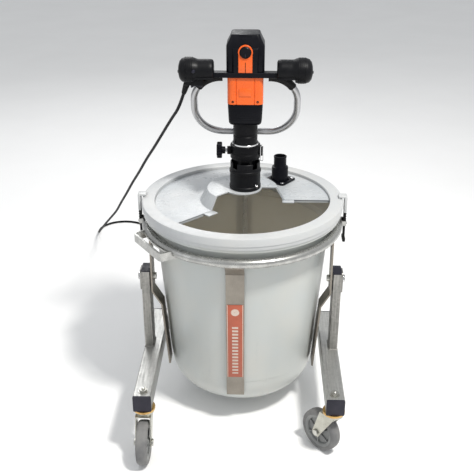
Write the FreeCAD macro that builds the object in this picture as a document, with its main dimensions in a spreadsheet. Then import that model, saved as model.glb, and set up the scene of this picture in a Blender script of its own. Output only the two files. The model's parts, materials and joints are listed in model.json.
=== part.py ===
import FreeCAD, Part
import math
import os
import re

import Sketcher
from FreeCAD import Placement, Rotation, Vector

# Mortar mixing station: a frame on casters, a tilting cradle with a bucket and lid, and a two-handled
# paddle mixer clamped over the bucket. Millimetres, +Z up, origin on the floor under the bucket's axis,
# front towards -Y. Sizes are typed once in the sheet and every sub-part is bound to it.

SIZES = [
    # Frame tubes
    ("rail_width", 50.8), ("rail_wall", 3.0), ("rail_centre", 265.6), ("rail_front", 366.0),
    ("rail_rear", 106.0), ("corner_round", 4.0), ("cap_lip", 4.0), ("cap_plug", 18.0),
    ("fit_gap", 0.3), ("side_bar_width", 12.7), ("side_bar_start", 62.0), ("cross_front", 322.0),
    ("cross_width", 25.4), ("post_width", 25.4), ("post_depth", 50.8), ("post_wall", 2.5),
    ("post_outset", 11.1), ("post_height", 254.0), ("post_cap_plug", 10.0), ("post_round", 3.0),
    ("pivot_back", 92.0), ("pivot_drop", 24.0), ("plate_size", 66.0), ("plate_thick", 4.0),
    ("plate_inset", 4.0), ("plate_round", 10.0), ("pivot_radius", 6.0), ("pivot_play", 0.1),
    ("pivot_head_radius", 10.0), ("pivot_head_thick", 7.0), ("pivot_nut_thick", 8.0),
    # Casters
    ("wheel_radius", 62.5), ("wheel_gap", 11.9), ("tread_width", 32.0), ("tread_shoulder", 4.0),
    ("tread_step", 1.2), ("tyre_thick", 13.0), ("hub_width", 36.0), ("hub_boss", 13.0),
    ("hub_web_inset", 7.0), ("hub_rim_thick", 5.0), ("caster_trail", 42.0), ("caster_inset", 1.6),
    ("caster_set_back", 26.0), ("rear_caster_x", 150.0), ("raceway_radius", 31.0),
    ("raceway_thick", 6.0), ("fork_thick", 3.0), ("fork_crown", 8.0), ("fork_width", 38.0),
    ("fork_back", 20.0), ("fork_nose", 32.0), ("axle_radius", 5.0), ("axle_play", 0.1),
    ("axle_head_radius", 9.0), ("axle_head_thick", 5.0), ("nut_radius", 11.0), ("nut_thick", 8.0),
    # Bucket and lid
    ("bucket_floor", 48.0), ("bucket_top", 616.0), ("bucket_low_radius", 212.0), ("neck_drop", 64.0),
    ("bucket_high_radius", 252.0), ("neck_radius", 264.0), ("neck_step", 10.0), ("bucket_wall", 4.0),
    ("bucket_corner", 100.0), ("bucket_flange", 284.0), ("rim_radius", 290.0), ("rim_inner", 253.0),
    ("rim_high", 34.0), ("lid_thick", 3.5), ("lid_drop", 9.0), ("lid_arc", 225.0),
    ("hub_outer", 122.0), ("hub_inner", 100.0), ("hub_disc", 56.0), ("hub_rise", 39.0),
    ("port_x", 111.0), ("port_y", 153.0), ("port_flange", 74.0), ("port_thick", 5.0),
    ("port_round", 12.0), ("port_bore", 16.0), ("port_low_radius", 25.0), ("port_low_high", 46.0),
    ("port_high_radius", 19.0), ("spigot_high", 34.0), ("port_turn", 35.0), ("screw_inset", 10.0),
    ("screw_radius", 3.0), ("screw_head", 5.5), ("screw_head_thick", 3.0),
    # Cradle
    ("hoop_radius", 280.0), ("hoop_tube", 12.7), ("hoop_drop", 41.0), ("strap_thick", 5.0),
    ("strap_width", 50.8), ("strap_gap", 0.8), ("strap_bulge", 2.4), ("strap_out", 261.4),
    ("strap_overlap", 6.0), ("handle_reach", 316.0), ("handle_span", 165.0), ("handle_high", 24.0),
    ("handle_thick", 6.0), ("handle_drop", 17.0), ("handle_turn", 34.5), ("handle_round", 14.0),
    ("latch_thick", 6.0), ("latch_width", 26.0), ("latch_pin", 3.0), ("latch_eye", 6.0),
    ("latch_outset", 19.0), ("lug_thick", 4.0), ("lug_high", 14.0), ("pad_thick", 6.0),
    ("pad_length", 60.0),
    # Mixer, on its own axis
    ("mixer_x", 8.0), ("cup_radius", 45.0), ("cup_high", 80.0), ("cup_wall", 6.0),
    ("cup_seat", 16.0), ("clamp_rise", 11.0), ("clamp_tall", 40.0), ("clamp_radius", 42.5),
    ("nose_radius", 28.5), ("neck_case_radius", 34.0), ("neck_case_high", 65.0),
    ("gear_case_high", 58.0), ("case_half", 48.5), ("case_wall", 4.0), ("case_corner", 14.0),
    ("motor_case_high", 74.0), ("head_high", 112.0), ("head_half", 51.0), ("head_depth", 47.0),
    ("head_bevel", 22.0), ("head_corner", 12.0), ("bar_height", 14.0), ("bar_depth", 30.0),
    ("bar_half", 96.0), ("grip_radius", 35.0), ("grip_rise", 18.0), ("grip_length", 94.0),
    ("grip_start", 84.0), ("grip_round", 9.0), ("dial_radius", 15.5), ("dial_drop", 44.0),
    ("dial_thick", 9.0), ("loop_tube", 9.5), ("loop_half", 142.5), ("loop_rise", 21.0),
    ("loop_drop", 5.0), ("loop_back", 47.0), ("loop_top_back", -12.0), ("loop_low_round", 80.0),
    ("loop_top_round", 76.0), ("loop_end", 62.0), ("sleeve_wall", 2.0), ("sleeve_share", 0.6),
    ("knob_radius", 24.0), ("knob_thick", 15.0), ("knob_lobe", 7.0), ("knob_out", 38.0),
    ("stud_radius", 5.0), ("gear_module", 1.0), ("motor_teeth", 10.0), ("idler_large_teeth", 32.0),
    ("idler_small_teeth", 18.0), ("spindle_teeth", 24.0), ("spindle_radius", 10.0),
    ("shaft_radius", 7.0), ("paddle_rise", 26.0), ("paddle_radius", 70.0), ("paddle_tall", 142.0),
    ("ring_bar", 8.0), ("cord_radius", 4.5), ("coil_radius", 50.0), ("guard_length", 46.0),
]

# Levels that follow from the sizes, so that what stands on a piece moves with it
LEVELS = {
    "caster_top": "2 * wheel_radius + wheel_gap + fork_thick + fork_crown + fit_gap",
    "rail_top": "caster_top + raceway_thick + rail_width",
    "pivot_height": "rail_top + post_height - pivot_drop",
    "post_centre": "rail_centre + post_outset",
    "caster_x": "rail_centre - caster_inset",
    "caster_y": "rail_front - caster_set_back",
    "bucket_wall_top": "bucket_top - neck_drop",
    "neck_low": "bucket_wall_top + neck_step",
    "rim_low": "bucket_top + 0.2",
    "rim_top": "bucket_top + rim_high",
    "lid_level": "rim_top - lid_drop",
    "hub_level": "lid_level + hub_rise",
    "port_step": "lid_level + port_low_high",
    "port_top": "port_step + spigot_high",
    "hoop_height": "bucket_top - hoop_drop",
    "handle_low": "hoop_height - handle_drop",
    "latch_out": "hoop_radius + latch_outset",
    "foot_level": "rail_top + pad_thick",
    "cup_top": "hub_level + cup_high",
    "clamp_low": "cup_top + clamp_rise",
    "clamp_high": "clamp_low + clamp_tall",
    "neck_case_top": "clamp_high + neck_case_high",
    "gear_case_top": "neck_case_top + gear_case_high",
    "motor_case_top": "gear_case_top + motor_case_high",
    "head_top": "motor_case_top + head_high",
    "dial_height": "head_top - dial_drop",
    "grip_height": "motor_case_top + grip_rise",
    "loop_low": "clamp_high + loop_rise",
    "loop_top": "motor_case_top - loop_drop",
    "paddle_low": "bucket_floor + paddle_rise",
    "paddle_high": "paddle_low + paddle_tall",
}

DOC = FreeCAD.newDocument("MixingStation")
SHEET = DOC.addObject("Spreadsheet::Sheet", "Sizes")
for row, (alias, number) in enumerate(SIZES, start=1):
    SHEET.set("A%d" % row, alias)
    SHEET.set("B%d" % row, "%.4f" % number)
    SHEET.setAlias("B%d" % row, alias)
DOC.recompute()

ALIASES = {alias for alias, number in SIZES}
NODES = []


def formula(text):
    """Write a text such as rail_top - rail_width / 2 as an expression on the sheet."""
    def spelled(word):
        name = word.group(0)
        if name in LEVELS:
            return "(%s)" % formula(LEVELS[name])
        return "Sizes." + name if name in ALIASES else name

    return re.sub(r"[a-z][a-z_]+", spelled, str(text))


def size(text):
    """The present value of an expression on the sheet."""
    found = SHEET.evalExpression(formula(text))
    return float(getattr(found, "Value", found))


def bind(thing, **properties):
    """Bind properties to expressions on the sheet, a double underscore standing for a dot."""
    for name, text in properties.items():
        thing.setExpression(name.replace("__", "."), formula(text))
    return thing


def at(thing, x=0, y=0, z=0):
    """Bind the three coordinates of an object's place to the sheet."""
    thing.setExpression("Placement.Base.x", formula(x))
    thing.setExpression("Placement.Base.y", formula(y))
    thing.setExpression("Placement.Base.z", formula(z))
    return thing


def node(thing, label=None):
    """Keep an object as a sub-part that gets a file of its own."""
    thing.Label = label or thing.Name
    NODES.append(thing)
    return thing


# ---- Primitives and booleans -------------------------------------------------------------------

TURN = {"X": Rotation(Vector(0, 1, 0), 90), "Y": Rotation(Vector(1, 0, 0), -90), "Z": Rotation()}


def box(name, sizes, low):
    thing = DOC.addObject("Part::Box", name)
    bind(thing, Length=sizes[0], Width=sizes[1], Height=sizes[2])
    return at(thing, *low)


def rod(name, radius, length, base, axis="Z"):
    thing = DOC.addObject("Part::Cylinder", name)
    thing.Placement = Placement(Vector(), TURN[axis])
    bind(thing, Radius=radius, Height=length)
    return at(thing, *base)


def cut(name, base, *tools):
    thing = DOC.addObject("Part::Cut", name)
    thing.Base = base
    thing.Tool = tools[0] if len(tools) == 1 else fuse(name + "_tools", *tools)
    return thing


def fuse(name, *pieces):
    thing = DOC.addObject("Part::MultiFuse", name)
    thing.Shapes = list(pieces)
    return thing


def group(name, *pieces):
    """Identical or paired pieces that stay separate solids."""
    thing = DOC.addObject("Part::Compound", name)
    thing.Links = list(pieces)
    return thing


def mirror(name, source, normal=(1, 0, 0)):
    thing = DOC.addObject("Part::Mirroring", name)
    thing.Source = source
    thing.Normal = Vector(*normal)
    return thing


def rounded(name, source, radius, axis, wanted=None):
    """Round the straight edges that run along one axis, or only those that a test picks."""
    DOC.recompute()
    direction = {"X": Vector(1, 0, 0), "Y": Vector(0, 1, 0), "Z": Vector(0, 0, 1)}[axis]
    picked = []
    for number, edge in enumerate(source.Shape.Edges, start=1):
        straight = isinstance(edge.Curve, Part.Line) and abs(edge.Curve.Direction.dot(direction)) > 0.999
        if straight and (wanted is None or wanted(edge)):
            picked.append((number, radius, radius))
    thing = DOC.addObject("Part::Fillet", name)
    thing.Base = source
    thing.Edges = picked
    return thing


# ---- PartDesign bodies -------------------------------------------------------------------------

def plane(body, role):
    return [item for item in body.Origin.OriginFeatures if item.Role == role + "_Plane"][0]


def outline(body, name, role, points, level="0"):
    """Closed sketch through points whose coordinates are bound to the sheet."""
    sketch = body.newObject("Sketcher::SketchObject", name)
    sketch.AttachmentSupport = [(plane(body, role), "")]
    sketch.MapMode = "FlatFace"
    sketch.setExpression("AttachmentOffset.Base.z", formula(level))
    places = [Vector(size(a), size(b), 0) for a, b in points]
    count = len(points)
    for index in range(count):
        sketch.addGeometry(Part.LineSegment(places[index], places[(index + 1) % count]))
    for index in range(count):
        sketch.addConstraint(Sketcher.Constraint("Coincident", index, 2, (index + 1) % count, 1))
    for index, (across, along) in enumerate(points):
        bounds = (("DistanceX", -2, across, places[index].x), ("DistanceY", -1, along, places[index].y))
        for kind, axis, text, now in bounds:
            if str(text) == "0":
                sketch.addConstraint(Sketcher.Constraint("PointOnObject", index, 1, axis))
                continue
            number = sketch.addConstraint(Sketcher.Constraint(kind, -1, 1, index, 1, now))
            label = "%s%d" % (kind, index)
            sketch.renameConstraint(number, label)
            sketch.setExpression("Constraints." + label, formula(text))
    return sketch


def turned(name, points, x="0", y="0", arc="360"):
    """Body of revolution about a vertical axis from (radius, height) points."""
    body = DOC.addObject("PartDesign::Body", name)
    sketch = outline(body, name + "_outline", "XZ", points)
    wheel = body.newObject("PartDesign::Revolution", name + "_turn")
    wheel.Profile = sketch
    wheel.ReferenceAxis = (sketch, ["V_Axis"])
    bind(wheel, Angle=arc)
    return at(body, x, y)


def prism(name, role, points, length, level="0"):
    """Body padded from an outline: XY pads up, XZ towards -Y and YZ towards +X from its level."""
    body = DOC.addObject("PartDesign::Body", name)
    sketch = outline(body, name + "_outline", role, points, level)
    pad = body.newObject("PartDesign::Pad", name + "_pad")
    pad.Profile = sketch
    bind(pad, Length=length)
    return body


def soften(body, radius, wanted):
    """Fillet the body's edges that a test picks."""
    DOC.recompute()
    tip = body.Tip
    names = ["Edge%d" % n for n, edge in enumerate(tip.Shape.Edges, start=1) if wanted(edge)]
    fillet = body.newObject("PartDesign::Fillet", body.Name + "_fillet%d" % len(body.Group))
    fillet.Base = (tip, names)
    bind(fillet, Radius=radius)
    DOC.recompute()
    return body


# ---- Tubes along a route -----------------------------------------------------------------------

def route_wire(points, radii):
    """Straight runs joined by tangent arcs."""
    edges = []
    start = points[0]
    for before, corner, after, radius in zip(points, points[1:], points[2:], radii):
        back = (before - corner).normalize()
        ahead = (after - corner).normalize()
        half_turn = (math.pi - back.getAngle(ahead)) / 2
        reach = radius * math.tan(half_turn)
        arc_start = corner + back * reach
        arc_end = corner + ahead * reach
        middle = (back + ahead).normalize()
        arc_middle = corner + middle * (radius / math.cos(half_turn) - radius)
        edges.append(Part.LineSegment(start, arc_start).toShape())
        edges.append(Part.Arc(arc_start, arc_middle, arc_end).toShape())
        start = arc_end
    edges.append(Part.LineSegment(start, points[-1]).toShape())
    return Part.Wire(edges)


def sweep(wire, radius):
    """Round bar along a wire."""
    start = wire.Edges[0].Vertexes[0].Point
    ahead = wire.Edges[0].tangentAt(wire.Edges[0].FirstParameter)
    ring = Part.Wire([Part.Circle(start, ahead, radius).toShape()])
    return wire.makePipeShell([ring], True, True)


def shaped(name, shape):
    thing = DOC.addObject("Part::Feature", name)
    thing.Shape = shape
    return thing


# ---- Frame -------------------------------------------------------------------------------------

def hollow_bar(name, sizes, low, wall, axis):
    """Rectangular tube along one axis, open at both ends, with rounded corners."""
    outer = box(name + "_outer", sizes, low)
    soft = rounded(name + "_round", outer, size("corner_round"), axis)
    inner_size = ["(%s) - 2 * %s" % (text, wall) for text in sizes]
    inner_low = ["(%s) + %s" % (text, wall) for text in low]
    along = "XYZ".index(axis)
    inner_size[along] = sizes[along]
    inner_low[along] = low[along]
    return cut(name, soft, box(name + "_bore", inner_size, inner_low))


def frame():
    rail = hollow_bar(
        "right_rail", ("rail_width", "rail_front + rail_rear - 2 * cap_lip", "rail_width"),
        ("rail_centre - rail_width / 2", "cap_lip - rail_front", "rail_top - rail_width"), "rail_wall", "Y")
    node(group("side_rails", rail, mirror("left_rail", rail)))

    side = hollow_bar(
        "right_side_bar", ("side_bar_width", "cross_front - side_bar_start", "rail_width"),
        ("rail_centre - rail_width / 2 - side_bar_width", "side_bar_start", "rail_top - rail_width"),
        "post_wall", "Y")
    node(group("rear_side_bars", side, mirror("left_side_bar", side)))
    node(hollow_bar(
        "rear_cross_bar", ("2 * rail_centre - rail_width", "cross_width", "rail_width"),
        ("rail_width / 2 - rail_centre", "cross_front", "rail_top - rail_width"), "post_wall", "X"))

    caps = []
    inside = "rail_width - 2 * rail_wall - fit_gap"
    for end, lip_low, plug_low in (("front", "-rail_front", "cap_lip - rail_front"),
                                   ("rear", "rail_rear - cap_lip", "rail_rear - cap_lip - cap_plug")):
        lip = box(end + "_cap_lip", ("rail_width", "cap_lip", "rail_width"),
                  ("rail_centre - rail_width / 2", lip_low, "rail_top - rail_width"))
        soft = rounded(end + "_cap_round", lip, size("corner_round"), "Y")
        plug = box(end + "_cap_plug",
                   (inside, "cap_plug", inside),
                   ("rail_centre - rail_width / 2 + rail_wall + fit_gap / 2", plug_low,
                    "rail_top - rail_width + rail_wall + fit_gap / 2"))
        caps.append(fuse(end + "_cap", soft, plug))
    lip = box("post_cap_lip", ("post_width", "post_depth", "cap_lip"),
              ("post_centre - post_width / 2", "-pivot_back - post_depth / 2", "rail_top + post_height"))
    soft = rounded("post_cap_round", lip, size("post_round"), "Z")
    plug = box("post_cap_plug",
               ("post_width - 2 * post_wall - fit_gap", "post_depth - 2 * post_wall - fit_gap",
                "post_cap_plug"),
               ("post_centre - post_width / 2 + post_wall + fit_gap / 2",
                "-pivot_back - post_depth / 2 + post_wall + fit_gap / 2",
                "rail_top + post_height - post_cap_plug"))
    caps.append(fuse("post_cap", soft, plug))
    node(group("tube_caps", *caps, *[mirror(cap.Name + "_left", cap) for cap in caps]))

    post = hollow_bar("right_tube", ("post_width", "post_depth", "post_height"),
                      ("post_centre - post_width / 2", "-pivot_back - post_depth / 2", "rail_top"),
                      "post_wall", "Z")
    plate = box("right_plate", ("plate_thick", "post_depth - 2 * plate_inset", "plate_size"),
                ("post_centre + post_width / 2", "plate_inset - pivot_back - post_depth / 2",
                 "pivot_height - plate_size * 0.6"))
    soft_plate = rounded("right_plate_round", plate, size("plate_round"), "X")
    welded = fuse("right_post_blank", post, soft_plate)
    bore = rod("right_post_bore", "pivot_radius + pivot_play", "2 * post_width",
               ("post_centre - post_width", "-pivot_back", "pivot_height"), "X")
    whole = cut("right_post", welded, bore)
    node(group("uprights", whole, mirror("left_post", whole)))

    hexagon = [("nut_radius * cos(%d)" % a, "nut_radius * sin(%d)" % a) for a in range(0, 360, 60)]
    nut = prism("stem_nut", "XY", hexagon, "nut_thick")
    stem_places = (("caster_x", "-caster_y", "rail_top"), ("-caster_x", "-caster_y", "rail_top"),
                   ("rear_caster_x", "cross_front + cross_width / 2", "rail_top"),
                   ("-rear_caster_x", "cross_front + cross_width / 2", "rail_top"))
    DOC.recompute()
    nuts = []
    for index, place in enumerate(stem_places):
        copy = DOC.addObject("Part::Feature", "stem_nut_%d" % index)
        copy.Shape = nut.Shape
        nuts.append(at(copy, *place))
    node(group("stem_nuts", *nuts))

    races = []
    for index, (x, y, z) in enumerate(stem_places):
        race = rod("race_%d" % index, "raceway_radius", "raceway_thick",
                   (x, y, "rail_top - rail_width - raceway_thick"))
        races.append(race)
    node(group("caster_raceways", *races))

    level = "pivot_height"
    plate_face = "post_centre + post_width / 2 + plate_thick"
    inner_end = "strap_out - strap_thick - pivot_nut_thick - fit_gap"
    head = rod("pivot_head", "pivot_head_radius", "pivot_head_thick",
               (plate_face, "-pivot_back", level), "X")
    shank = rod("pivot_shank", "pivot_radius", "%s - (%s)" % (plate_face, inner_end),
                (inner_end, "-pivot_back", level), "X")
    spacer = rod("pivot_spacer", "pivot_head_radius", "post_centre - post_width / 2 - strap_out - fit_gap",
                 ("strap_out + fit_gap", "-pivot_back", level), "X")
    inner_nut = rod("pivot_nut", "pivot_head_radius", "pivot_nut_thick",
                    (inner_end, "-pivot_back", level), "X")
    pivot = fuse("right_pivot", head, shank, spacer, inner_nut)
    node(group("pivot_bolts", pivot, mirror("left_pivot", pivot)))

    node(box("rest_pad", ("pad_length", "cross_width - 4", "pad_thick - 0.2"),
             ("-pad_length / 2", "cross_front + 2", "rail_top")))


# ---- Casters -----------------------------------------------------------------------------------

def caster(tag, x, y, heading):
    """Fork with its axle, tyre and hub, turned about the swivel axis to a heading in degrees."""
    top = "rail_top - rail_width - raceway_thick - fit_gap"
    axle_x = "caster_trail"
    crown = rod(tag + "_crown", "raceway_radius - 3", "fork_crown", (0, 0, top + " - fork_crown"))
    bridge = box(tag + "_bridge", ("fork_back + fork_nose", "fork_width + 2 * fork_thick", "fork_thick"),
                 ("-fork_back", "-fork_width / 2 - fork_thick", top + " - fork_crown - fork_thick"))
    low = "wheel_radius"
    leg_points = [("-fork_back", top + " - fork_crown"), ("fork_nose", top + " - fork_crown"),
                  ("caster_trail + 14", low), ("caster_trail + 8", low + " - 13"),
                  ("caster_trail - 8", low + " - 13"), ("caster_trail - 15", low)]
    near = prism(tag + "_near_leg", "XZ", leg_points, "fork_thick", "fork_width / 2")
    far = prism(tag + "_far_leg", "XZ", leg_points, "fork_thick", "-fork_width / 2 - fork_thick")
    axle = rod(tag + "_axle", "axle_radius", "fork_width + 2 * fork_thick + 8",
               (axle_x, "-fork_width / 2 - fork_thick - 4", low), "Y")
    bolt_head = rod(tag + "_axle_head", "axle_head_radius", "axle_head_thick",
                    (axle_x, "-fork_width / 2 - fork_thick - axle_head_thick", low), "Y")
    bolt_nut = rod(tag + "_axle_nut", "axle_head_radius", "axle_head_thick",
                   (axle_x, "fork_width / 2 + fork_thick", low), "Y")
    fork = fuse(tag + "_fork", crown, bridge, near, far, axle, bolt_head, bolt_nut)

    ring = rod(tag + "_ring", "wheel_radius - tread_step", "tread_width",
               (axle_x, "-tread_width / 2", low), "Y")
    tread = rod(tag + "_tread", "wheel_radius", "tread_width - 2 * tread_shoulder",
                (axle_x, "tread_shoulder - tread_width / 2", low), "Y")
    middle = rod(tag + "_tyre_bore", "wheel_radius - tyre_thick", "tread_width + 2",
                 (axle_x, "-tread_width / 2 - 1", low), "Y")
    tyre = cut(tag + "_tyre", fuse(tag + "_tyre_blank", ring, tread), middle)

    web = rod(tag + "_web", "wheel_radius - tyre_thick", "tread_width - 2 * hub_web_inset",
              (axle_x, "hub_web_inset - tread_width / 2", low), "Y")
    rim = cut(tag + "_rim", rod(tag + "_rim_out", "wheel_radius - tyre_thick", "tread_width - 2",
                                (axle_x, "1 - tread_width / 2", low), "Y"),
              rod(tag + "_rim_in", "wheel_radius - tyre_thick - hub_rim_thick", "tread_width",
                  (axle_x, "-tread_width / 2", low), "Y"))
    boss = rod(tag + "_boss", "hub_boss", "hub_width", (axle_x, "-hub_width / 2", low), "Y")
    bore = rod(tag + "_hub_bore", "axle_radius + axle_play", "hub_width + 2",
               (axle_x, "-hub_width / 2 - 1", low), "Y")
    hub = cut(tag + "_hub", fuse(tag + "_hub_blank", web, rim, boss), bore)

    for piece in (fork, tyre, hub):
        piece.Placement = Placement(Vector(), Rotation(Vector(0, 0, 1), heading))
        at(piece, x, y)
        node(piece)


def casters():
    """Two front casters, one swung aside, and two at the rear."""
    rear_y = "cross_front + cross_width / 2"
    caster("front_left", "-caster_x", "-caster_y", -90)
    caster("front_right", "caster_x", "-caster_y", 133)
    caster("rear_left", "-rear_caster_x", rear_y, 90)
    caster("rear_right", "rear_caster_x", rear_y, 90)


# ---- Bucket and lid ----------------------------------------------------------------------------

SLOPE = "(bucket_high_radius - bucket_low_radius) / (bucket_wall_top - bucket_floor)"


def wall_at(height, inset="0"):
    """Radius of the bucket's outside at a height, less an inset."""
    return "bucket_low_radius + %s * ((%s) - bucket_floor) - (%s)" % (SLOPE, height, inset)


def bucket():
    inner_floor = "bucket_floor + bucket_wall"
    body = turned("bucket", [
        ("0", "bucket_floor"), ("bucket_low_radius", "bucket_floor"),
        ("bucket_high_radius", "bucket_wall_top"), ("neck_radius", "neck_low"),
        ("neck_radius", "bucket_top - 8"), ("bucket_flange", "bucket_top - 4"),
        ("bucket_flange", "bucket_top"), ("neck_radius - bucket_wall", "bucket_top"),
        ("neck_radius - bucket_wall", "neck_low + 1"),
        ("bucket_high_radius - bucket_wall", "bucket_wall_top + 1"),
        (wall_at(inner_floor, "bucket_wall"), inner_floor), ("0", inner_floor)])
    low = size("bucket_floor")
    wide = size("bucket_low_radius")

    def outside(edge):
        wide_ring = isinstance(edge.Curve, Part.Circle) and edge.Curve.Radius > wide - 1
        return wide_ring and edge.CenterOfMass.z < low + 1

    def inside(edge):
        close = low + 1 < edge.CenterOfMass.z < low + size("bucket_wall") + 1
        return isinstance(edge.Curve, Part.Circle) and edge.Curve.Radius > wide - 10 and close

    soften(body, "bucket_corner", outside)
    soften(body, "bucket_corner - bucket_wall", inside)
    node(body)


def lid():
    node(turned("lid_rim", [
        ("rim_inner", "lid_level - 8"), ("rim_inner + lid_thick", "lid_level - 8"),
        ("rim_inner + lid_thick", "rim_top - lid_thick"), ("rim_radius - lid_thick", "rim_top - lid_thick"),
        ("rim_radius - lid_thick", "rim_low"), ("rim_radius", "rim_low"), ("rim_radius", "rim_top - 2"),
        ("rim_radius - 2", "rim_top"), ("rim_inner", "rim_top")]))

    cover = turned("cover_sector", [
        ("rim_inner - fit_gap", "lid_level - lid_thick"), ("rim_inner - fit_gap", "lid_level"),
        ("hub_outer", "lid_level"), ("hub_inner", "hub_level"), ("hub_disc", "hub_level"),
        ("hub_disc", "hub_level - lid_thick"), ("hub_inner - lid_thick", "hub_level - lid_thick"),
        ("hub_outer - lid_thick", "lid_level - lid_thick")], arc="lid_arc")
    disc = rod("cover_disc", "hub_disc", "lid_thick", (0, 0, "hub_level - lid_thick"))
    shaft_hole = rod("cover_shaft_hole", "shaft_radius + 5", "20", ("mixer_x", 0, "hub_level - 10"))
    port_hole = rod("cover_port_hole", "port_bore", "20", ("port_x", "port_y", "lid_level - 10"))
    node(cut("lid_cover", fuse("cover_blank", cover, disc), shaft_hole, port_hole))


def dust_port():
    plate = box("port_plate", ("port_flange", "port_flange", "port_thick"),
                ("-port_flange / 2", "-port_flange / 2", "lid_level"))
    soft = rounded("port_plate_round", plate, size("port_round"), "Z")
    low = rod("port_low", "port_low_radius", "port_step - lid_level", (0, 0, "lid_level"))
    bore = rod("port_low_bore", "port_bore", "port_step - lid_level + 1", (0, 0, "lid_level - 0.5"))
    holes = []
    screws = []
    for index, (a, b) in enumerate(((1, 1), (-1, 1), (-1, -1), (1, -1))):
        x = "%d * (port_flange / 2 - screw_inset)" % a
        y = "%d * (port_flange / 2 - screw_inset)" % b
        holes.append(rod("port_hole_%d" % index, "screw_radius + fit_gap", "port_thick + 2",
                         (x, y, "lid_level - 1")))
        head = rod("port_screw_head_%d" % index, "screw_head", "screw_head_thick",
                   (x, y, "lid_level + port_thick"))
        shank = rod("port_screw_shank_%d" % index, "screw_radius", "port_thick", (x, y, "lid_level"))
        screws.append(fuse("port_screw_%d" % index, head, shank))
    flange = cut("port_flange_plate", fuse("port_flange_blank", soft, low), bore, *holes)
    spigot_out = rod("spigot_out", "port_high_radius", "port_top - port_step", (0, 0, "port_step"))
    spigot_bore = rod("spigot_bore", "port_bore", "port_top - port_step + 2", (0, 0, "port_step - 1"))
    spigot = cut("port_spigot", spigot_out, spigot_bore)
    screw_set = group("port_screws", *screws)
    for piece in (flange, spigot, screw_set):
        piece.Placement = Placement(Vector(), Rotation(Vector(0, 0, 1), 0))
        bind(piece, Placement__Rotation__Angle="-port_turn")
        at(piece, "port_x", "port_y")
        node(piece)


# ---- Cradle ------------------------------------------------------------------------------------

def hoop():
    ring = DOC.addObject("Part::Torus", "hoop_ring")
    bind(ring, Radius1="hoop_radius", Radius2="hoop_tube")
    at(ring, 0, 0, "hoop_height")
    sides = []
    for index, side in enumerate((1, -1)):
        for level, y in enumerate(("latch_width / 2 + 1", "-latch_width / 2 - 1 - lug_thick")):
            lug = box("lug_%d%d" % (index, level), ("latch_outset + lug_thick", "lug_thick", "lug_high"),
                      ("hoop_radius" if side > 0 else "-latch_out - lug_thick", y,
                       "hoop_height - lug_high / 2"))
            sides.append(lug)
        sides.append(rod("latch_pin_%d" % index, "latch_pin", "latch_width + 10",
                         ("%d * latch_out" % side, "-latch_width / 2 - 5", "hoop_height"), "Y"))
    return node(fuse("hoop", ring, *sides))


def latch(tag, side):
    """Rubber hold-down latch that hooks over the lid's rim."""
    pin = "%d * latch_out" % side
    eye = rod(tag + "_eye", "latch_eye", "latch_width", (pin, "-latch_width / 2", "hoop_height"), "Y")
    inner = "rim_radius + 3"
    outer = "rim_radius + 3 + latch_thick"
    low_x = inner if side > 0 else "-(%s)" % outer
    band = box(tag + "_band", ("latch_thick", "latch_width", "rim_top + 8 - hoop_height"),
               (low_x, "-latch_width / 2", "hoop_height"))
    hook_x = "rim_radius - 12" if side > 0 else "-(%s)" % outer
    hook = box(tag + "_hook", ("15 + latch_thick", "latch_width", "6"),
               (hook_x, "-latch_width / 2", "rim_top + 2"))
    bore = rod(tag + "_bore", "latch_pin + fit_gap", "latch_width + 2",
               (pin, "-latch_width / 2 - 1", "hoop_height"), "Y")
    node(cut(tag, fuse(tag + "_blank", eye, band, hook), bore))


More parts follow.
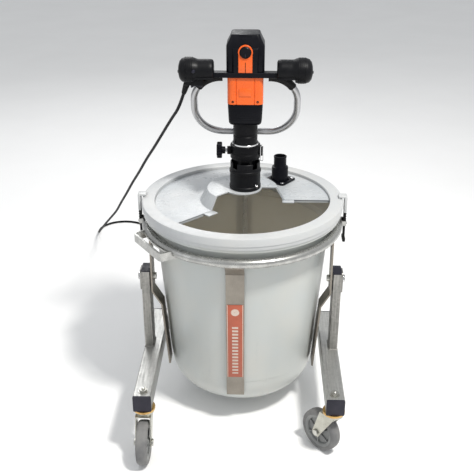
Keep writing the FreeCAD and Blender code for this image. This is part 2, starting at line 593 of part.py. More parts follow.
def straps(ring):
    upper_bend = "rail_top + 190"
    lower_bend = "rail_top + 145"
    low_end = "rail_top - 60"
    inner = "strap_out - strap_thick"
    points = [(inner, "hoop_height"), ("strap_out", "hoop_height"), ("strap_out", upper_bend),
              (wall_at(lower_bend, "strap_overlap - strap_thick"), lower_bend),
              (wall_at(low_end, "strap_overlap - strap_thick"), low_end),
              (wall_at(low_end, "strap_overlap"), low_end),
              (wall_at(lower_bend, "strap_overlap"), lower_bend),
              (inner, upper_bend)]
    blank = prism("side_strap_blank", "XZ", points, "strap_width", "pivot_back - strap_width / 2")
    bore = rod("side_strap_bore", "pivot_radius + pivot_play", "20",
               ("strap_out - strap_thick - 5", "-pivot_back", "pivot_height"), "X")
    strap = cut("right_strap", blank, bore, ring)
    node(group("side_straps", strap, mirror("left_strap", strap)))

    curve_top = "bucket_floor + bucket_corner"
    low = "bucket_floor + 62"
    corner_x = "bucket_low_radius + %s * bucket_corner - bucket_corner" % SLOPE
    low_radius = "%s + sqrt(bucket_corner ^ 2 - 38 ^ 2)" % corner_x
    gap = "strap_gap"
    seat = "hoop_radius"
    front = [("-(%s)" % seat, "hoop_height"),
             ("-(%s + strap_thick)" % seat, "hoop_height"),
             ("-(%s + strap_thick)" % seat, "hoop_height - 14"),
             ("-(%s + %s + strap_thick)" % (wall_at("bucket_wall_top - 24"), gap), "bucket_wall_top - 24"),
             ("-(%s + %s + strap_bulge + strap_thick)" % (wall_at(curve_top), gap), curve_top),
             ("-(%s + %s + strap_bulge + strap_thick)" % (low_radius, gap), low),
             ("-(%s + %s + strap_bulge)" % (low_radius, gap), low),
             ("-(%s + %s + strap_bulge)" % (wall_at(curve_top), gap), curve_top),
             ("-(%s + %s)" % (wall_at("bucket_wall_top - 24"), gap), "bucket_wall_top - 24"),
             ("-(%s)" % seat, "hoop_height - 16")]
    front_blank = prism("front_strap_blank", "YZ", front, "strap_width", "-13 - strap_width / 2")
    node(cut("front_strap", front_blank, ring))

    foot = "foot_level"
    rear = [("%s" % seat, "hoop_height"), ("%s + strap_thick" % seat, "hoop_height"),
            ("%s + strap_thick" % seat, "hoop_height - 14"),
            ("%s + %s + strap_thick" % (wall_at("bucket_wall_top - 24"), gap), "bucket_wall_top - 24"),
            ("%s + %s + strap_thick" % (wall_at(foot), gap), foot + " + strap_thick"),
            ("cross_front + cross_width", foot + " + strap_thick"),
            ("cross_front + cross_width", foot),
            ("%s + %s" % (wall_at(foot), gap), foot),
            ("%s + %s" % (wall_at("bucket_wall_top - 24"), gap), "bucket_wall_top - 24"),
            ("%s" % seat, "hoop_height - 16")]
    rear_blank = prism("rear_strap_blank", "YZ", rear, "strap_width", "-strap_width / 2")
    node(cut("rear_strap", rear_blank, ring))


def tilt_handle(ring):
    stub = "handle_reach - hoop_radius + 18"
    outer = box("handle_outer", (stub, "handle_span", "handle_high"),
                ("-handle_reach", "-handle_span / 2", "handle_low"))
    inner = box("handle_inner", (stub, "handle_span - 2 * handle_thick", "handle_high + 2"),
                ("handle_thick - handle_reach", "handle_thick - handle_span / 2", "handle_low - 1"))
    reach = size("handle_reach")
    thick = size("handle_thick")
    bend = size("handle_round")
    outside = rounded("handle_outer_round", outer, bend, "Z", lambda e: e.CenterOfMass.x < 1 - reach)
    inside = rounded("handle_inner_round", inner, bend - thick, "Z",
                     lambda e: e.CenterOfMass.x < thick + 1 - reach)
    bar = cut("handle_bar", outside, inside)
    bar.Placement = Placement(Vector(), Rotation(Vector(0, 0, 1), 0))
    bind(bar, Placement__Rotation__Angle="handle_turn")
    keep_out = rod("handle_keep_out", "hoop_radius - 4", "60", (0, 0, "handle_low - 20"))
    node(cut("tilt_handle", bar, keep_out, ring))


# ---- Mixer -------------------------------------------------------------------------------------

def collar():
    x = "mixer_x"
    node(turned("collar_cup", [
        ("shaft_radius + 8", "hub_level"), ("cup_radius - 3", "hub_level"), ("cup_radius", "hub_level + 3"),
        ("cup_radius", "cup_top - 3"), ("cup_radius - 3", "cup_top"), ("nose_radius + fit_gap", "cup_top"),
        ("nose_radius + fit_gap", "cup_top - cup_seat"), ("cup_radius - cup_wall", "cup_top - cup_seat"),
        ("cup_radius - cup_wall", "hub_level + 8"), ("shaft_radius + 8", "hub_level + 8")], x))
    ring = rod("clamp_ring", "clamp_radius", "clamp_high - clamp_low", (x, 0, "clamp_low"))
    boss = box("clamp_boss", ("14", "22", "30"), (x + " - clamp_radius - 6", "-11", "clamp_low + 5"))
    bore = rod("clamp_bore", "nose_radius + fit_gap / 3", "60", (x, 0, "clamp_low - 10"))
    stud_hole = rod("clamp_stud_hole", "stud_radius + pivot_play", "30",
                    (x + " - clamp_radius - 10", 0, "clamp_low + clamp_tall / 2"), "X")
    node(cut("clamp_collar", fuse("clamp_blank", ring, boss), bore, stud_hole))

    knob_x = x + " - clamp_radius - knob_out"
    level = "clamp_low + clamp_tall / 2"
    lobes = []
    middle = rod("knob_middle", "knob_radius - knob_lobe + 1", "knob_thick", (knob_x, 0, level), "X")
    for index in range(5):
        lobes.append(rod("knob_lobe_%d" % index, "knob_lobe", "knob_thick",
                         (knob_x, "(knob_radius - knob_lobe) * cos(%d)" % (72 * index),
                          level + " + (knob_radius - knob_lobe) * sin(%d)" % (72 * index)), "X"))
    hub = rod("knob_hub", "2 * stud_radius", "9", (knob_x + " + knob_thick", 0, level), "X")
    stud = rod("knob_stud", "stud_radius", "clamp_radius + knob_out - knob_thick - nose_radius - 1",
               (knob_x + " + knob_thick", 0, level), "X")
    node(fuse("star_knob", middle, hub, stud, *lobes))


def rounded_case(name, half_low, half_high, depth_low, depth_high, low, high, corner):
    """Housing block that widens from one level to the next, with rounded upright corners."""
    loft_body = DOC.addObject("PartDesign::Body", name)
    sections = []
    ends = (("low", half_low, depth_low, low), ("high", half_high, depth_high, high))
    for tag, half, depth, level in ends:
        points = [("-(%s) + %s" % (half, corner), "-(%s)" % depth),
                  ("(%s) - %s" % (half, corner), "-(%s)" % depth),
                  (half, "-(%s) + %s" % (depth, corner)), (half, "(%s) - %s" % (depth, corner)),
                  ("(%s) - %s" % (half, corner), depth), ("-(%s) + %s" % (half, corner), depth),
                  ("-(%s)" % half, "(%s) - %s" % (depth, corner)),
                  ("-(%s)" % half, "-(%s) + %s" % (depth, corner))]
        sections.append(outline(loft_body, name + "_" + tag, "XY", points, level))
    loft = loft_body.newObject("PartDesign::AdditiveLoft", name + "_loft")
    loft.Profile = sections[0]
    loft.Sections = [sections[1]]
    return at(loft_body, "mixer_x")


def housings():
    x = "mixer_x"
    # Gearbox neck: nose tube in the collar, flange against the gear case
    node(turned("gearbox_neck", [
        ("shaft_radius + 6", "cup_top - 14"), ("nose_radius", "cup_top - 14"), ("nose_radius", "clamp_high + 1"),
        ("neck_case_radius", "clamp_high + 1"), ("neck_case_radius", "neck_case_top - 1"),
        ("neck_case_radius - 8", "neck_case_top - 1"), ("neck_case_radius - 8", "clamp_high + 22"),
        ("shaft_radius + 6", "clamp_high + 22")], x))
    # Gear case
    outer = rounded_case("gear_case_outer", "case_half - 8", "case_half", "case_half - 8", "case_half - 2",
                         "neck_case_top - 1", "gear_case_top", "case_corner")
    inner = rounded_case("gear_case_inner", "case_half - 13", "case_half - case_wall", "case_half - 13",
                         "case_half - 2 - case_wall", "neck_case_top + 4", "gear_case_top + 0.001",
                         "case_corner - 2")
    neck_hole = rod("gear_case_hole", "neck_case_radius - 10", "20", (x, 0, "neck_case_top - 6"))
    node(cut("gear_case", outer, inner, neck_hole))
    # Motor case
    outer = rounded_case("motor_case_outer", "case_half", "case_half", "case_half - 2", "case_half - 2",
                         "gear_case_top + 0.2", "motor_case_top", "case_corner")
    inner = rounded_case("motor_case_inner", "case_half - case_wall", "case_half - case_wall",
                         "case_half - 2 - case_wall", "case_half - 2 - case_wall", "gear_case_top - 1",
                         "motor_case_top + 1", "case_corner - 2")
    node(cut("motor_case", outer, inner))
    # Head: shell with a closed, chamfered top
    low = rounded_case("head_low", "head_half", "head_half", "head_depth", "head_depth",
                       "motor_case_top + 0.2", "head_top - head_bevel", "head_corner")
    high = rounded_case("head_high", "head_half", "head_half - 13", "head_depth", "head_depth - 8",
                        "head_top - head_bevel", "head_top", "head_corner")
    hollow = rounded_case("head_hollow", "head_half - case_wall", "head_half - case_wall",
                          "head_depth - case_wall", "head_depth - case_wall", "motor_case_top - 1",
                          "head_top - head_bevel - 2", "head_corner - 2")
    dial_seat = rod("dial_seat", "dial_radius + fit_gap", "5", (x, "-head_depth - 1", "dial_height"), "Y")
    bar_slot = box("bar_slot", ("2 * head_half + 2", "bar_depth + 2 * fit_gap", "bar_height + fit_gap"),
                   (x + " - head_half - 1", "-head_depth - 2", "motor_case_top"))
    spindle_hole = rod("dial_spindle_hole", "3 + fit_gap", "30", (x, "-head_depth - 2", "dial_height"), "Y")
    node(cut("head_cap", fuse("head_blank", low, high), hollow, dial_seat, spindle_hole, bar_slot))
    # Speed dial
    knob = rod("dial_disc", "dial_radius", "dial_thick", (x, "-head_depth - 5.5", "dial_height"), "Y")
    spindle = rod("dial_spindle", "3", "12", (x, "3.5 - head_depth", "dial_height"), "Y")
    node(fuse("speed_dial", knob, spindle))


def grips():
    x = "mixer_x"
    low = "motor_case_top + 0.2"
    bar = box("bar_blank", ("2 * bar_half", "bar_depth", "bar_height"),
              (x + " - bar_half", "-head_depth - 1.5", low))
    soft_bar = rounded("bar_round", bar, 3.0, "X")
    node(cut("cross_bar", soft_bar, DOC.getObject("left_sleeve_room"), DOC.getObject("right_sleeve_room")))
    for tag, side in (("left", -1), ("right", 1)):
        start = x + (" + grip_start + fit_gap" if side > 0 else " - grip_start - grip_length - fit_gap")
        body = rod(tag + "_grip_round", "grip_radius", "grip_length",
                   (start, "-head_depth + 14", "grip_height"), "X")
        soft_edges = DOC.addObject("Part::Fillet", tag + "_grip_soft")
        DOC.recompute()
        soft_edges.Base = body
        end_round = size("grip_round")
        soft_edges.Edges = [(number, end_round, end_round)
                            for number, edge in enumerate(body.Shape.Edges, start=1)
                            if isinstance(edge.Curve, Part.Circle)]
        slot = box(tag + "_grip_slot", ("26", "bar_depth + 2 * fit_gap", "bar_height + 2 * fit_gap"),
                   (x + " + grip_start - 13" if side > 0 else x + " - grip_start - 13",
                    "-head_depth - 1.5 - fit_gap", low + " - fit_gap"))
        tools = [slot, DOC.getObject(tag + "_sleeve_room")]
        if side < 0:
            tools.append(box("trigger_pocket", ("32", "16", "22"),
                             (x + " - 147", "-head_depth + 6", "grip_height - grip_radius - 2")))
            tools.append(rod("lock_pocket", "5.2", "20",
                             (x + " - 136", "-head_depth - grip_radius + 13", "grip_height + 4"), "Y"))
        node(cut(tag + "_grip", soft_edges, *tools))
    trigger = box("trigger_blank", ("30", "14", "22"),
                  (x + " - 146", "-head_depth + 7", "grip_height - grip_radius - 12"))
    node(rounded("trigger", trigger, 3.0, "Y"))
    node(rod("lock_button", "4.8", "12",
             (x + " - 136", "-head_depth - grip_radius + 9", "grip_height + 4"), "Y"))


def loop_point(across, height):
    """Point of the loop's leaning plane, across from the mixer's axis at a height."""
    share = (size("loop_top") - height) / (size("loop_top") - size("loop_low"))
    back = size("loop_top_back") + (size("loop_back") - size("loop_top_back")) * share
    return Vector(size("mixer_x") + across, back, height)


def loop_handle():
    half = size("loop_half")
    low = size("loop_low")
    top = size("loop_top")
    end = size("loop_end")
    corners = [loop_point(*place) for place in
               ((-end, top), (-half, top), (-half, low), (half, low), (half, top), (end, top))]
    radii = [size("loop_top_round"), size("loop_low_round"), size("loop_low_round"), size("loop_top_round")]
    wire = route_wire(corners, radii)
    node(shaped("loop_handle", sweep(wire, size("loop_tube"))))

    sleeves = []
    for side in (-1, 1):
        points = [loop_point(side * end, top), loop_point(side * half, top), loop_point(side * half, low)]
        run, bend = route_wire(points, [size("loop_top_round")]).Edges[:2]
        bend_start, bend_middle, bend_end = (
            bend.valueAt(bend.getParameterByLength(bend.Length * share)) for share in
            (0, size("sleeve_share") / 2, size("sleeve_share")))
        path = Part.Wire([run, Part.Arc(bend_start, bend_middle, bend_end).toShape()])
        core = sweep(path, size("loop_tube + sleeve_wall"))
        tag = "left" if side < 0 else "right"
        sleeves.append(shaped(tag + "_sleeve", core.cut(sweep(path, size("loop_tube + fit_gap / 3")))))
        shaped(tag + "_sleeve_room", sweep(path, size("loop_tube + sleeve_wall + fit_gap / 3")))
    node(group("loop_sleeves", *sleeves))


def gear_outline(teeth, module, phase):
    """Slim straight-sided teeth, the first one pointing along the phase angle in degrees."""
    pitch = teeth * module / 2
    rings = ((pitch - 1.2 * module, 0.27), (pitch, 0.19), (pitch + 0.8 * module, 0.08))
    points = []
    for index in range(int(teeth)):
        centre = math.radians(phase) + 2 * math.pi * index / teeth
        for radius, share in list(rings) + list(reversed(rings)):
            side = -1 if len(points) % 6 < 3 else 1
            angle = centre + side * share * 2 * math.pi / teeth
            points.append(Vector(radius * math.cos(angle), radius * math.sin(angle), 0))
    return Part.Face(Part.makePolygon(points + points[:1]))


def gear(teeth, phase, x, y, low, high):
    face = gear_outline(teeth, size("gear_module"), phase)
    solid = face.extrude(Vector(0, 0, high - low))
    solid.translate(Vector(x, y, low))
    return solid


def works():
    """Motor and gear train inside the housings."""
    x = size("mixer_x")
    module = size("gear_module")
    motor = size("motor_teeth")
    large = size("idler_large_teeth")
    small = size("idler_small_teeth")
    out = size("spindle_teeth")
    idler_y = (motor + large) * module / 2
    low = size("neck_case_top")

    stator = rod("stator_out", "42", "52", ("mixer_x", 0, "gear_case_top + 6"))
    stator_bore = rod("stator_in", "27", "60", ("mixer_x", 0, "gear_case_top + 2"))
    node(cut("motor_stator", stator, stator_bore))

    shaft = Part.makeCylinder(5, size("head_top") - 60 - (low + 36), Vector(x, 0, low + 36))
    core = Part.makeCylinder(26, 46, Vector(x, 0, size("gear_case_top") + 9))
    fan = Part.makeCylinder(36, 7, Vector(x, 0, low + 49))
    commutator = Part.makeCylinder(14, 18, Vector(x, 0, size("gear_case_top") + 62))
    pinion = gear(motor, 90, x, 0, low + 27, low + 36.5)
    armature = shaft.fuse([core, fan, commutator, pinion])
    node(shaped("motor_armature", armature.removeSplitter()))

    phase_large = 270 + 180 / large
    wheel = gear(large, phase_large, x, idler_y, low + 28, low + 35)
    little = gear(small, 270, x, idler_y, low + 17, low + 28.2)
    idler_shaft = Part.makeCylinder(4, 26, Vector(x, idler_y, low + 14))
    node(shaped("idler_gear", wheel.fuse([little, idler_shaft]).removeSplitter()))

    phase_out = 90 + 180 / out
    wheel = gear(out, phase_out, x, 0, low + 18, low + 26)
    spindle_low = size("hub_level") + 50
    spindle = Part.makeCylinder(size("spindle_radius"), low + 26 - spindle_low, Vector(x, 0, spindle_low))
    node(shaped("output_spindle", wheel.fuse(spindle).removeSplitter()))

    bearings = []
    bearings.append(cut("neck_bearing",
                        rod("neck_race", "neck_case_radius - 8.1", "12", ("mixer_x", 0, "clamp_high + 23")),
                        rod("neck_race_bore", "spindle_radius + 0.05", "14",
                            ("mixer_x", 0, "clamp_high + 22"))))
    bearings.append(cut("top_bearing", rod("top_race", "13", "8", ("mixer_x", 0, "head_top - 72")),
                        rod("top_race_bore", "5.05", "10", ("mixer_x", 0, "head_top - 73"))))
    node(group("ball_bearings", *bearings))

    brushes = []
    for side, start in ((1, "mixer_x + 14.4"), (-1, "mixer_x - 14.4 - 16")):
        brushes.append(box("brush_%d" % (side + 1), ("16", "9", "7"), (start, "-4.5", "gear_case_top + 66")))
    node(group("carbon_brushes", *brushes))


def paddle():
    """Shaft with a coupling nut, hub, two rings and three twisted flights."""
    x = size("mixer_x")
    low = size("paddle_low")
    high = size("paddle_high")
    bar = size("ring_bar")
    wide = size("paddle_radius")
    shaft = Part.makeCylinder(size("shaft_radius"), size("hub_level") + 34 - low, Vector(x, 0, low))
    corners = [math.radians(60 * index) for index in range(7)]
    hexagon = [Vector(x + 15 * math.cos(corner), 15 * math.sin(corner), 0) for corner in corners]
    nut = Part.Face(Part.makePolygon(hexagon)).extrude(Vector(0, 0, 36))
    nut.translate(Vector(0, 0, size("hub_level") + 13.5))
    pieces = [nut]
    for level in (low, high - bar):
        place = Vector(x, 0, level)
        pieces.append(Part.makeCylinder(wide, bar, place).cut(Part.makeCylinder(wide - bar, bar, place)))
    spans = 5
    twist_step = 22
    for flight in range(3):
        sections = []
        for step in range(spans + 1):
            angle = math.radians(flight * 120 + step * twist_step)
            height = low + 1 + (high - low - 2) * step / spans
            out = Vector(math.cos(angle), math.sin(angle), 0)
            side = Vector(-math.sin(angle), math.cos(angle), 0)
            centre = Vector(x, 0, height)
            corners = [centre + out * (wide - 2) - side * 3, centre + out * (wide - 2) + side * 3,
                       centre + out * (wide - 24) + side * 3, centre + out * (wide - 24) - side * 3]
            sections.append(Part.makePolygon(corners + corners[:1]))
        pieces.append(Part.makeLoft(sections, True, True))
        for level, twist in ((low, 0), (high - bar, twist_step * spans)):
            arm = Part.makeBox(wide - bar / 2, bar, bar, Vector(0, -bar / 2, 0))
            arm.rotate(Vector(), Vector(0, 0, 1), flight * 120 + twist)
            arm.translate(Vector(x, 0, level))
            pieces.append(arm)
    node(shaped("mixing_paddle", shaft.fuse(pieces).removeSplitter()))


# ---- Cord --------------------------------------------------------------------------------------

# Route of the free cord from the strain relief to the coil
CORD_ROUTE = [
    (-162, 5, 952), (-180, 42, 900), (-206, 95, 856), (-242, 167, 790), (-284, 250, 712), (-325, 333, 640),
    (-365, 417, 562), (-405, 501, 490), (-444, 585, 413), (-483, 670, 340), (-521, 756, 264), (-563, 843, 197),
    (-607, 930, 128), (-648, 1016, 60), (-680, 1092, 4.6), (-676, 1162, 4.6), (-628, 1214, 4.6),
    (-552, 1226, 4.6), (-480, 1190, 4.6), (-424, 1130, 4.6), (-372, 1068, 4.6), (-318, 1016, 4.6)]
COIL_CENTRE = (-250, 1000)


def cord():
    radius = size("cord_radius")
    points = [Vector(*place) for place in CORD_ROUTE]
    bends = []
    for before, corner, after in zip(points, points[1:], points[2:]):
        run = min((corner - before).Length, (after - corner).Length)
        half_turn = (math.pi - (before - corner).getAngle(after - corner)) / 2
        bends.append(0.45 * run / math.tan(half_turn))
    print("cord bend radii", [round(bend) for bend in bends])
    wire = route_wire(points, bends)
    tube = sweep(wire, radius)
    ratio = tube.Volume / (math.pi * radius ** 2 * wire.Length)
    print("cord tube length %.0f, volume ratio %.4f" % (wire.Length, ratio))
    node(shaped("cord_lead", tube))

    start = points[0]
    ahead = (points[1] - points[0]).normalize()
    reach = size("guard_length")
    guard = Part.makeCone(2 * radius, radius + 1.2, reach, start - ahead * reach, ahead)
    node(shaped("cord_guard", guard))

    coil = size("coil_radius")
    ring = Part.makeCylinder(coil + 2 * radius, 4 * radius, Vector(COIL_CENTRE[0], COIL_CENTRE[1], 0.1))
    hole = Part.makeCylinder(coil - 2 * radius, 4 * radius + 2, Vector(COIL_CENTRE[0], COIL_CENTRE[1], -1))
    node(shaped("cord_coil", ring.cut(hole)))

    plug_x = COIL_CENTRE[0] + coil
    plug_y = COIL_CENTRE[1] + 38
    away = Vector(0, 1, 0)
    body = Part.makeCone(8, 15, 38, Vector(plug_x, plug_y, 15.2), away)
    face = Part.makeCylinder(15, 8, Vector(plug_x, plug_y + 38, 15.2), away)
    blades = [Part.makeBox(1.6, 18, 6.4, Vector(plug_x + shift - 0.8, plug_y + 46, 14))
              for shift in (-6.4, 6.4)]
    ground = Part.makeCylinder(2.4, 20, Vector(plug_x, plug_y + 46, 7.5), away)
    node(shaped("cord_plug", body.fuse([face, ground] + blades)))


def build():
    frame()
    casters()
    bucket()
    lid()
    dust_port()
    ring = hoop()
    latch("right_latch", 1)
    latch("left_latch", -1)
    straps(ring)
    tilt_handle(ring)
    collar()
    housings()
    loop_handle()
    grips()
    works()
    paddle()
    cord()


def check_and_write():
    DOC.recompute()
    faults = []
    for thing in DOC.Objects:
        if "Invalid" in thing.State or "Error" in thing.State:
            faults.append(thing.Name)
    for piece in NODES:
        if piece.Shape.isNull() or not piece.Shape.isValid():
            faults.append(piece.Label + " shape")
    if faults:
        raise RuntimeError("failed objects: " + ", ".join(faults))
    os.makedirs("parts", exist_ok=True)
    for piece in NODES:
        piece.Shape.exportStep("parts/%s.step" % piece.Label)
    print("%d nodes written" % len(NODES))


build()
check_and_write()
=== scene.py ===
"""Mortar mixing station: bucket in a tilting hoop cradle on casters, with a paddle mixer clamped over it.

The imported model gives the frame. Every class below is one sub-assembly, holds its own sizes in metres,
models its pieces and dresses the frame's own nodes.
"""
import json
import logging
import math
import random
from dataclasses import dataclass
from enum import Enum
from typing import Callable, Sequence

import bpy
from mathutils import Matrix, Vector


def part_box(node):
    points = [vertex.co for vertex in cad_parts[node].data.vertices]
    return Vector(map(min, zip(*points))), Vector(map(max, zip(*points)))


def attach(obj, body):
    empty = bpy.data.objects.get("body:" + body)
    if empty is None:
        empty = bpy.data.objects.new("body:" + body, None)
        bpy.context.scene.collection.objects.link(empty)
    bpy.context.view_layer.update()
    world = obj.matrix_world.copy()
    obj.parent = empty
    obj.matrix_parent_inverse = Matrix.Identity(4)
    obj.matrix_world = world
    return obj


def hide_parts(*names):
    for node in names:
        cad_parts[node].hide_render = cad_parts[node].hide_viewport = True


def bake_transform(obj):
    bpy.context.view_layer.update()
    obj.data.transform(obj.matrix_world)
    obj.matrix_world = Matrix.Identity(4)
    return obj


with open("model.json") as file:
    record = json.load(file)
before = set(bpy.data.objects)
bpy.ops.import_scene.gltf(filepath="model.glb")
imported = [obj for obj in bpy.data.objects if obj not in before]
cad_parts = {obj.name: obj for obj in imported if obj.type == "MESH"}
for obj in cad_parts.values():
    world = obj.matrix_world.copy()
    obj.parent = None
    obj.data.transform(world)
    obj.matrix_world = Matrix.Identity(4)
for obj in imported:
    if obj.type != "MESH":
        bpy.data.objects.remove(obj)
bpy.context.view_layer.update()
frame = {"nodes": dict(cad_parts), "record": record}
LOG = logging.getLogger("mixing_station")

Colour = tuple[float, float, float]
Point = tuple[float, float, float]


class Axis(Enum):
    """Direction that a turned piece's own axis takes."""

    X = (0.0, math.pi / 2, 0.0)
    Y = (-math.pi / 2, 0.0, 0.0)
    Z = (0.0, 0.0, 0.0)


# ---- Finishes ----------------------------------------------------------------------------------


class Nodes:
    """Small builder for a material's node tree on Object coordinates."""

    def __init__(self, name: str) -> None:
        """Start a material with its shader.

        Args:
            name: the material's name.
        """
        self.material = bpy.data.materials.new(name)
        self.material.use_nodes = True
        self.tree = self.material.node_tree
        self.shader = self.tree.nodes["Principled BSDF"]
        self.coords = self.tree.nodes.new("ShaderNodeTexCoord").outputs["Object"]

    def link(self, source: bpy.types.NodeSocket, target: bpy.types.NodeSocket) -> None:
        """Join two sockets."""
        self.tree.links.new(source, target)

    def stretched(self, scale: Point) -> bpy.types.NodeSocket:
        """Object coordinates scaled along each axis.

        Args:
            scale: factor along X, Y and Z.

        Returns:
            The scaled coordinates' socket.
        """
        mapping = self.tree.nodes.new("ShaderNodeMapping")
        mapping.inputs["Scale"].default_value = scale
        self.link(self.coords, mapping.inputs["Vector"])
        return mapping.outputs["Vector"]

    def noise(self, scale: float, detail: float = 4.0, vector: bpy.types.NodeSocket | None = None,
              rough: float = 0.55) -> bpy.types.NodeSocket:
        """Noise between 0 and 1.

        Args:
            scale: cells per metre.
            detail: octaves.
            vector: coordinates, or None for Object coordinates.
            rough: roughness of the octaves.

        Returns:
            The noise's value socket.
        """
        node = self.tree.nodes.new("ShaderNodeTexNoise")
        node.inputs["Scale"].default_value = scale
        node.inputs["Detail"].default_value = detail
        node.inputs["Roughness"].default_value = rough
        self.link(vector or self.coords, node.inputs["Vector"])
        return node.outputs["Fac"]

    def cells(self, scale: float, vector: bpy.types.NodeSocket | None = None) -> bpy.types.NodeSocket:
        """Voronoi cell shade between 0 and 1, one value per cell."""
        node = self.tree.nodes.new("ShaderNodeTexVoronoi")
        node.inputs["Scale"].default_value = scale
        self.link(vector or self.coords, node.inputs["Vector"])
        grey = self.tree.nodes.new("ShaderNodeRGBToBW")
        self.link(node.outputs["Color"], grey.inputs["Color"])
        return grey.outputs["Val"]

    def ramp(self, source: bpy.types.NodeSocket, low: float, high: float, start: Colour | float,
             end: Colour | float) -> bpy.types.NodeSocket:
        """Colour or value that runs from start to end while the source runs from low to high.

        Args:
            source: driving value.
            low: source value where start holds.
            high: source value where end holds.
            start: first colour or value.
            end: last colour or value.

        Returns:
            The ramp's colour socket.
        """
        node = self.tree.nodes.new("ShaderNodeValToRGB")
        stops = node.color_ramp.elements
        stops[0].position = low
        stops[1].position = high
        for stop, value in zip(stops, (start, end)):
            rgb = (value, value, value) if isinstance(value, float) else value
            stop.color = (*rgb, 1.0)
        self.link(source, node.inputs["Fac"])
        return node.outputs["Color"]

    def mix(self, share: bpy.types.NodeSocket, first: bpy.types.NodeSocket,
            second: bpy.types.NodeSocket) -> bpy.types.NodeSocket:
        """Blend two colours by a share."""
        node = self.tree.nodes.new("ShaderNodeMix")
        node.data_type = "RGBA"
        factor, start, end = (node.inputs[index] for index in (0, 6, 7))
        self.link(share, factor)
        self.link(first, start)
        self.link(second, end)
        return node.outputs[2]

    def math(self, operation: str, first: bpy.types.NodeSocket | float,
             second: bpy.types.NodeSocket | float = 0.0) -> bpy.types.NodeSocket:
        """One arithmetic step.

        Args:
            operation: Blender's name for it.
            first: socket or number.
            second: socket or number.

        Returns:
            The result's socket.
        """
        node = self.tree.nodes.new("ShaderNodeMath")
        node.operation = operation
        for socket, value in zip(node.inputs, (first, second)):
            if isinstance(value, (int, float)):
                socket.default_value = value
            else:
                self.link(value, socket)
        return node.outputs["Value"]

    def split(self, vector: bpy.types.NodeSocket | None = None) -> tuple[bpy.types.NodeSocket, ...]:
        """The coordinates' X, Y and Z sockets."""
        node = self.tree.nodes.new("ShaderNodeSeparateXYZ")
        self.link(vector or self.coords, node.inputs["Vector"])
        return tuple(node.outputs)

    def bump(self, height: bpy.types.NodeSocket, depth: float, strength: float = 1.0) -> None:
        """Raise the surface by a height map.

        Args:
            height: height map.
            depth: height of its full range, in metres.
            strength: share of the effect.
        """
        node = self.tree.nodes.new("ShaderNodeBump")
        node.inputs["Distance"].default_value = depth
        node.inputs["Strength"].default_value = strength
        self.link(height, node.inputs["Height"])
        if self.shader.inputs["Normal"].links:
            self.link(self.shader.inputs["Normal"].links[0].from_socket, node.inputs["Normal"])
        self.link(node.outputs["Normal"], self.shader.inputs["Normal"])

    def plain(self, **values: float) -> None:
        """Set values that are the same all over on the shader itself, spaces written as underscores."""
        for name, value in values.items():
            self.shader.inputs[name.replace("_", " ")].default_value = value


@dataclass(frozen=True)
class Moulded:
    """Moulded plastic or rubber with a spark-eroded grain and dusty patches."""

    name: str
    colour: Colour
    dusty: Colour
    rough: tuple[float, float] = (0.38, 0.55)
    dust: tuple[float, float] = (0.45, 0.80)
    grain: float = 1400.0
    depth: float = 0.00012
    coat: float = 0.0
    specular: float = 0.5

    def make(self) -> bpy.types.Material:
        """Build the material."""
        n = Nodes(self.name)
        patches = n.noise(14.0, 5.0)
        n.link(n.ramp(patches, self.dust[0], self.dust[1], self.colour, self.dusty),
               n.shader.inputs["Base Color"])
        n.link(n.ramp(n.noise(60.0, 3.0), 0.3, 0.7, self.rough[0], self.rough[1]),
               n.shader.inputs["Roughness"])
        n.bump(n.noise(self.grain, 2.0), self.depth, 0.5)
        n.plain(Coat_Weight=self.coat, Coat_Roughness=0.25, Specular_IOR_Level=self.specular)
        return n.material


@dataclass(frozen=True)
class Galvanised:
    """Zinc-dipped steel: faint spangle, streaks along the bar and dull stains."""

    name: str
    light: Colour = (0.66, 0.67, 0.66)
    dark: Colour = (0.40, 0.41, 0.42)
    stretch: Point = (1.0, 1.0, 1.0)
    rough: tuple[float, float] = (0.28, 0.50)

    def make(self) -> bpy.types.Material:
        """Build the material."""
        n = Nodes(self.name)
        spangle = n.cells(140.0)
        streak = n.noise(40.0, 6.0, n.stretched(self.stretch))
        tone = n.math("ADD", n.math("MULTIPLY", spangle, 0.16), n.math("MULTIPLY", streak, 0.84))
        n.link(n.ramp(tone, 0.30, 0.66, self.dark, self.light), n.shader.inputs["Base Color"])
        n.link(n.ramp(tone, 0.30, 0.70, self.rough[1], self.rough[0]), n.shader.inputs["Roughness"])
        n.bump(streak, 0.00015, 0.25)
        n.bump(n.noise(900.0, 2.0), 0.00006, 0.4)
        n.plain(Metallic=0.85)
        return n.material


@dataclass(frozen=True)
class Brushed:
    """Drawn or brushed metal with fine scratches along one direction."""

    name: str
    colour: Colour
    worn: Colour
    stretch: Point = (1.0, 1.0, 30.0)
    rough: tuple[float, float] = (0.18, 0.38)
    metallic: float = 1.0
    specular: float = 0.5
    scratch: float = 220.0

    def make(self) -> bpy.types.Material:
        """Build the material."""
        n = Nodes(self.name)
        lines = n.noise(self.scratch, 4.0, n.stretched(self.stretch), 0.7)
        cloud = n.noise(18.0, 4.0)
        tone = n.math("ADD", n.math("MULTIPLY", lines, 0.45), n.math("MULTIPLY", cloud, 0.55))
        n.link(n.ramp(tone, 0.34, 0.64, self.worn, self.colour), n.shader.inputs["Base Color"])
        n.link(n.ramp(lines, 0.3, 0.7, self.rough[0], self.rough[1]), n.shader.inputs["Roughness"])
        n.bump(lines, 0.00008, 0.4)
        n.plain(Metallic=self.metallic, Specular_IOR_Level=self.specular)
        return n.material


